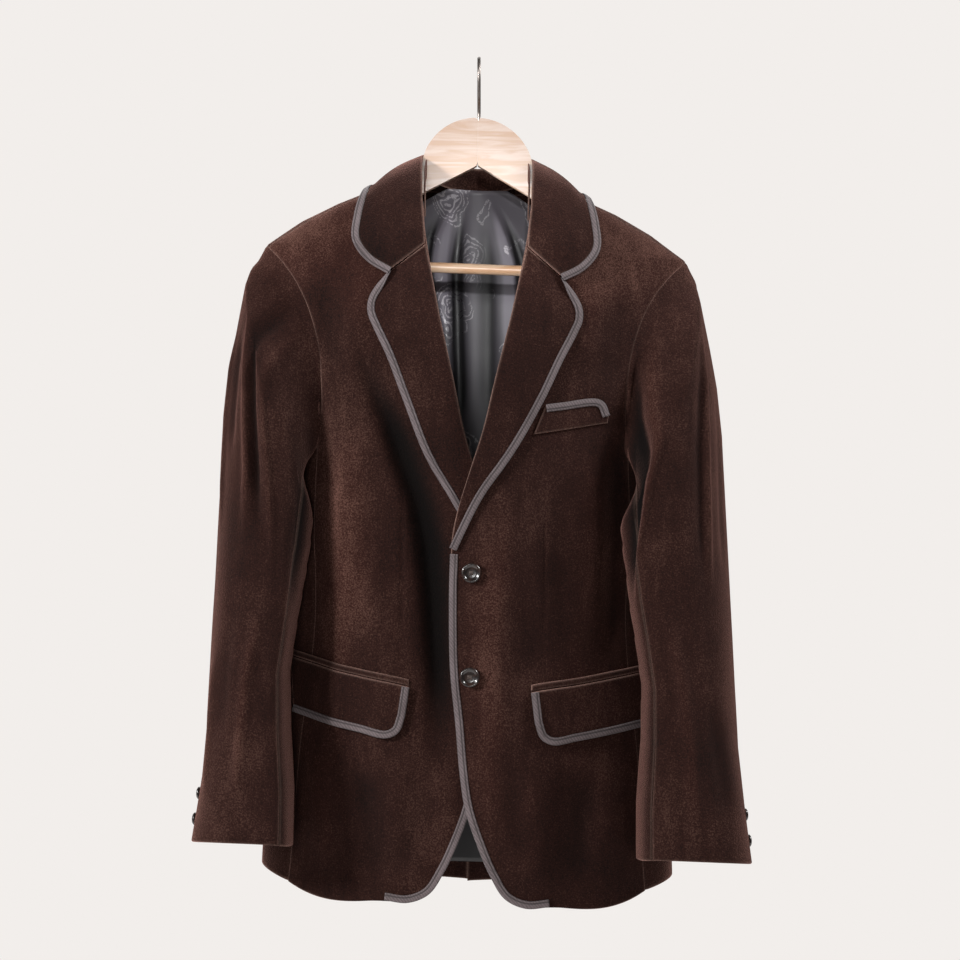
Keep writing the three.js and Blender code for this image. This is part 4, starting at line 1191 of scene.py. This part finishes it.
class JACKET_OT_cloth_cuts(bpy.types.Operator):
    """Goes through each piece of cloth with how it is held, what it rests on and what is sewn on it, and
    records nothing
    """
    bl_idname = "jacket.cloth_cuts"
    bl_label = "Cloth cuts"

    def execute(self, context):
        for word in ("left", "right"):
            front, back, hanger = ("velvet_front_" + word, "velvet_back_" + word, "wood_hanger_" + word)
            self.sheet(front, "hung", [hanger], ["mohair_front_braid_" + word, "velvet_jet_" + word])
            self.sheet(back, "hung", [hanger])
            for name in ("velvet_side_", "velvet_sleeve_top_", "velvet_sleeve_under_"):
                self.sheet(name + word, "hung", [front, back])
            self.sheet("velvet_lapel_" + word, "folded", [front], ["mohair_lapel_braid_" + word])
            self.sheet("velvet_flap_" + word, "hung", [front], ["mohair_flap_braid_" + word])
        self.sheet("velvet_collar_stand", "folded", ["velvet_back_left", "velvet_back_right"])
        self.sheet("velvet_collar_fall", "folded", ["velvet_collar_stand"], ["mohair_collar_braid"])
        self.sheet("velvet_breast_welt", "laid", ["velvet_front_left"], ["mohair_welt_braid"])
        self.sheet("satin_back_lining", "hung", ["velvet_back_left", "velvet_back_right"])
        return {"FINISHED"}

    def sheet(self, name, held, rests_on, sewn_on=()):
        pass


# A button's section from its back to its dish, as shares of its radius and thickness
BUTTON = (
    (0.55, 0.0), (0.82, 0.04), (0.95, 0.18), (1.0, 0.4), (0.99, 0.66), (0.94, 0.9), (0.87, 1.0),
    (0.79, 0.97), (0.72, 0.84), (0.66, 0.68), (0.56, 0.58), (0.4, 0.53),
)
DISH = 0.52


def circle(count):
    return [(math.cos(math.tau * k / count), math.sin(math.tau * k / count)) for k in range(count)]


def button_mesh(name, radius, thick, at, facing):
    """A turned button with a raised rim round a dish."""
    bm = bmesh.new()
    rings = [[bm.verts.new((r * radius * x, r * radius * y, h * thick)) for x, y in circle(72)]
             for r, h in BUTTON]
    low = bm.verts.new((0, 0, 0))
    top = bm.verts.new((0, 0, DISH * thick))
    bridge(bm, rings)
    for a, b in zip(rings[0], rings[0][1:] + rings[0][:1]):
        bm.faces.new((low, b, a))
    for a, b in zip(rings[-1], rings[-1][1:] + rings[-1][:1]):
        bm.faces.new((top, a, b))
    obj = added(name, bm)
    turn = Vector(facing).to_track_quat("Z", "Y").to_matrix().to_4x4()
    obj.data.transform(Matrix.Translation(Vector(at)) @ turn)
    return obj


def tube(name, route, radius, count, taper=False):
    """A round strand along points in metres, as one closed mesh."""
    route = [Vector(p) for p in route]
    last = len(route) - 1
    side = (route[1] - route[0]).normalized().orthogonal()
    bm = bmesh.new()
    rings = []
    for k, p in enumerate(route):
        along = (route[min(k + 1, last)] - route[max(k - 1, 0)]).normalized()
        side = (side - along * side.dot(along)).normalized()
        over = along.cross(side)
        r = radius * (0.35 if taper and k in (0, last) else 1.0)
        rings.append([bm.verts.new(p + r * (side * x + over * y)) for x, y in circle(count)])
    bridge(bm, rings)
    bm.faces.new(rings[0][::-1])
    bm.faces.new(rings[-1])
    return added(name, bm)


def joined(name, objects):
    """Several meshes as one object."""
    bm = bmesh.new()
    for obj in objects:
        old = obj.data
        bm.from_mesh(old)
        bpy.data.objects.remove(obj)
        bpy.data.meshes.remove(old)
    return added(name, bm)


def shank_thread(name, at, facing, radius, thick):
    """Four short bars of thread that cross the dish of a button."""
    facing = Vector(facing).normalized()
    side = facing.cross(Vector((0, 0, 1))).normalized()
    up = side.cross(facing)
    strands = []
    for offset in (-0.17, -0.06, 0.06, 0.17):
        route = [Vector(at) + up * (s * 0.2 * radius) + side * (offset * radius)
                 + facing * thick * (0.5 + 0.2 * (1 - s * s)) for s in np.linspace(-1, 1, 9)]
        strands.append(tube(name, route, 0.055 * radius, 8))
    return joined(name, strands)


class JACKET_OT_buttons(bpy.types.Operator):
    """Sews on the two front buttons and the four cuff buttons"""
    bl_idname = "jacket.buttons"
    bl_label = "Buttons"

    def execute(self, context):
        sizes = context.scene.jacket_sizes
        for k, z in enumerate(BUTTON_HEIGHTS):
            at = front_point(1, np.array([0.0]), np.array([z]))[0] - (0, CLOTH + 2 * LAY, 0)
            self.sew(f"front_button_{k + 1}", at, (0, -1, 0), sizes.button_radius, BUTTON_THICK)
        for side, word in SIDES:
            facing = unit(np.array([side * 0.96, 0.25, 0]))
            for k, z in enumerate(CUFF_BUTTON_HEIGHTS):
                share = (z - SHOULDER_TIP) / (CUFF_Z - CUFF_SLANT / 2 - SHOULDER_TIP)
                at = sleeve_surface(side, np.full((2, 2), CUFF_BUTTON_TURN), np.full((2, 2), share))[0, 0]
                self.sew(f"cuff_button_{word}_{k + 1}", at + facing * (CLOTH / 2 + 2 * LAY), facing,
                         sizes.cuff_radius, CUFF_BUTTON_THICK)
        return {"FINISHED"}

    def sew(self, name, at, facing, radius, thick):
        at = settle(np.asarray(at)) * MM
        dress(button_mesh(name + "_horn", radius, thick, at, facing), "button", name)
        dress(shank_thread(name + "_thread", at, facing, radius, thick), "thread")


def bezier(p0, p1, p2, p3, steps):
    t = np.linspace(0, 1, steps + 1)[1:, None]
    p0, p1, p2, p3 = (np.array(p, float) for p in (p0, p1, p2, p3))
    return (1 - t)**3 * p0 + 3 * (1 - t)**2 * t * p1 + 3 * (1 - t) * t * t * p2 + t**3 * p3


def hanger_outline():
    """One half of the hanger in x and z: the dome, the neck, the arm and its broad end."""
    dome = np.radians(np.linspace(90, 30, 26))
    x = JOIN_X + DOME_RADIUS * np.cos(dome) * (1 - JOIN_X / DOME_END_X)
    curves = (
        ((DOME_END_X, -93.9), (53, -99.5), (55.4, -108), (56, -120), 10),
        ((56, -120), (56.4, -131), (58, -138), (62, -142), 10),
        ((62, -142), (92, -152), (136, -168), (172, -188), 22),
        ((172, -188), (190, -197), (201, -210), (196, -221), 14),
        ((196, -221), (190, -233), (170, -236), (158, -233), 14),
        ((158, -233), (158, -226), (158, -218), (158, -211), 5),
        ((158, -211), (140, -188), (100, -168), (56, -140), 24),
        ((56, -140), (38, -130), (14, -117), (JOIN_X, JOIN_Z), 20),
    )
    return np.vstack([
        [(JOIN_X, JOIN_Z)],
        np.stack([x, DOME_Z + DOME_RADIUS * np.sin(dome)], -1),
        *(bezier(*curve) for curve in curves),
    ])[:-1]


def rounded_slab(name, outline, thick, edge, side):
    """A board cut to an outline in x and z, its long edges rounded and flat where it is joined."""
    edge = edge / MM
    turn = np.roll(outline, -1, 0) - np.roll(outline, 1, 0)
    inward = unit(np.stack([turn[:, 1], -turn[:, 0]], -1))
    if (inward[30:60] * (outline.mean(0) - outline[30:60])).sum() < 0:
        inward = -inward
    inward *= np.where(outline[:, :1] < 1, (0.0, 1.0), (1.0, 1.0))
    bm = bmesh.new()
    rings = []
    for k in range(-ROUND_STEPS, ROUND_STEPS + 1):
        bend = math.radians(90 * abs(k) / ROUND_STEPS)
        depth = math.copysign(thick / 2 - edge + edge * math.sin(bend), k) if k else 0.0
        at = outline + inward * edge * (1 - math.cos(bend))
        ring = settle(np.stack([side * at[:, 0], np.full(len(at), depth), at[:, 1]], -1)) * MM
        rings.append([bm.verts.new(p) for p in ring])
    bridge(bm, rings)
    for face in bm.faces:
        face.smooth = True
    bmesh.ops.triangulate(bm, faces=[bm.faces.new(rings[0][::-1]), bm.faces.new(rings[-1])])
    bmesh.ops.recalc_face_normals(bm, faces=bm.faces)
    return added(name, bm, smooth=False)


class JACKET_OT_hanger(bpy.types.Operator):
    """Rounds the wooden hanger and fits its trouser bar"""
    bl_idname = "jacket.hanger"
    bl_label = "Hanger"

    def execute(self, context):
        edge = context.scene.jacket_sizes.hanger_edge
        for side, word in SIDES:
            piece = rounded_slab("wood_hanger_" + word, hanger_outline(), HANGER_THICK, edge, side)
            dress(piece, "wood", "hanger_" + word)
        first, last = (settle(np.array([x, 0.0, BAR_Z])) * MM for x in (-BAR_END, BAR_END))
        route = first + (last - first) * np.linspace(0, 1, 60)[:, None]
        dress(tube("wood_trouser_bar", route, BAR_RADIUS, 40), "bar", "trouser_bar")
        return {"FINISHED"}


class JACKET_OT_hook(bpy.types.Operator):
    """Bends the wire hook and screws it into the wood"""
    bl_idname = "jacket.hook"
    bl_label = "Hook"

    def execute(self, context):
        turn = np.radians(np.arange(205, -26, -23))
        bend = np.stack([0 * turn, HOOK_RADIUS * np.cos(turn), HOOK_CENTRE + HOOK_RADIUS * np.sin(turn)], -1)
        route = np.vstack([[(0, 0, -65.5), (0, 0, -56), (0, -4, -49), (0, -13, -41)], bend])
        line = spline(route, np.linspace(0, 1, 260)) * MM
        dress(tube("wire_hook", line, WIRE_RADIUS, 20, taper=True), "metal", "hook")
        return {"FINISHED"}


class JACKET_OT_stage(bpy.types.Operator):
    """Sets the camera, the soft lights, the floor and the pale world"""
    bl_idname = "jacket.stage"
    bl_label = "Stage"

    def execute(self, context):
        scene = context.scene
        scene.view_settings.view_transform = "Standard"
        data = bpy.data.cameras.new("view")
        data.lens = LENS
        data.sensor_width = SENSOR
        camera = bpy.data.objects.new("view", data)
        camera.location = VIEWPOINT
        camera.rotation_euler = (math.radians(90), 0, 0)
        scene.collection.objects.link(camera)
        scene.camera = camera
        for name, at, size, power in AREA_LIGHTS:
            self.lamp(name, "AREA", at, LIT_MIDDLE, power, size=size)
        self.lamp("neck_spot", "SPOT", NECK_LAMP, LIT_NECK, 140, spot_size=math.radians(5.8), spot_blend=1.0,
                  shadow_soft_size=0.05)
        self.floor()
        self.sky(scene)
        return {"FINISHED"}

    def lamp(self, name, kind, at, aim, power, **settings):
        light = bpy.data.lights.new(name, kind)
        light.energy = power
        for key, value in settings.items():
            setattr(light, key, value)
        obj = bpy.data.objects.new(name, light)
        obj.location = at
        obj.rotation_euler = (Vector(aim) - Vector(at)).to_track_quat("-Z", "Y").to_euler()
        bpy.context.scene.collection.objects.link(obj)

    def floor(self):
        bm = bmesh.new()
        bmesh.ops.create_circle(bm, cap_ends=True, segments=96, radius=FLOOR_RADIUS)
        floor = added("floor", bm, smooth=False)
        floor.location = (0, 0, FLOOR_Z)
        floor.data.materials.append(backdrop_paper("studio_paper", STUDIO_WHITE))

    def sky(self, scene):
        """An off-white seen by the camera, and a softer grey that lights the cloth."""
        world = bpy.data.worlds.new("studio")
        world.use_nodes = True
        tree = world.node_tree
        tree.nodes.clear()
        white = linear(STUDIO_WHITE)
        path = node(tree, "LightPath")
        seen = node(tree, "Background", Color=white, Strength=1.0)
        lit = node(tree, "Background", Color=white, Strength=0.16)
        mix = node(tree, "MixShader", {0: path.outputs["Is Camera Ray"], 1: lit, 2: seen})
        node(tree, "OutputWorld", {"Surface": mix})
        scene.world = world


class JACKET_PT_panel(bpy.types.Panel):
    bl_label = "Velvet Jacket"
    bl_idname = "JACKET_PT_panel"
    bl_space_type = "VIEW_3D"
    bl_region_type = "UI"
    bl_category = "Velvet Jacket"

    def draw(self, context):
        layout = self.layout
        for group in (context.scene.jacket_look, context.scene.jacket_sizes):
            for key in group.bl_rna.properties.keys():
                if key not in ("rna_type", "name"):
                    layout.prop(group, key)
        for operator in OPERATORS:
            layout.operator(operator.bl_idname)


OPERATORS = (
    JACKET_OT_hanger,
    JACKET_OT_hook,
    JACKET_OT_lining,
    JACKET_OT_sides_and_backs,
    JACKET_OT_fronts,
    JACKET_OT_sleeves,
    JACKET_OT_collar_and_lapels,
    JACKET_OT_bindings,
    JACKET_OT_pockets,
    JACKET_OT_cloth_cuts,
    JACKET_OT_buttons,
    JACKET_OT_stage,
)
CLASSES = (JacketLook, JacketSizes, *OPERATORS, JACKET_PT_panel)


def register():
    for cls in CLASSES:
        bpy.utils.register_class(cls)
    bpy.types.Scene.jacket_look = bpy.props.PointerProperty(type=JacketLook)
    bpy.types.Scene.jacket_sizes = bpy.props.PointerProperty(type=JacketSizes)


def unregister():
    del bpy.types.Scene.jacket_sizes
    del bpy.types.Scene.jacket_look
    for cls in reversed(CLASSES):
        bpy.utils.unregister_class(cls)


def main():
    register()
    for operator in OPERATORS:
        group, name = operator.bl_idname.split(".")
        getattr(getattr(bpy.ops, group), name)()


if __name__ == "__main__":
    main()
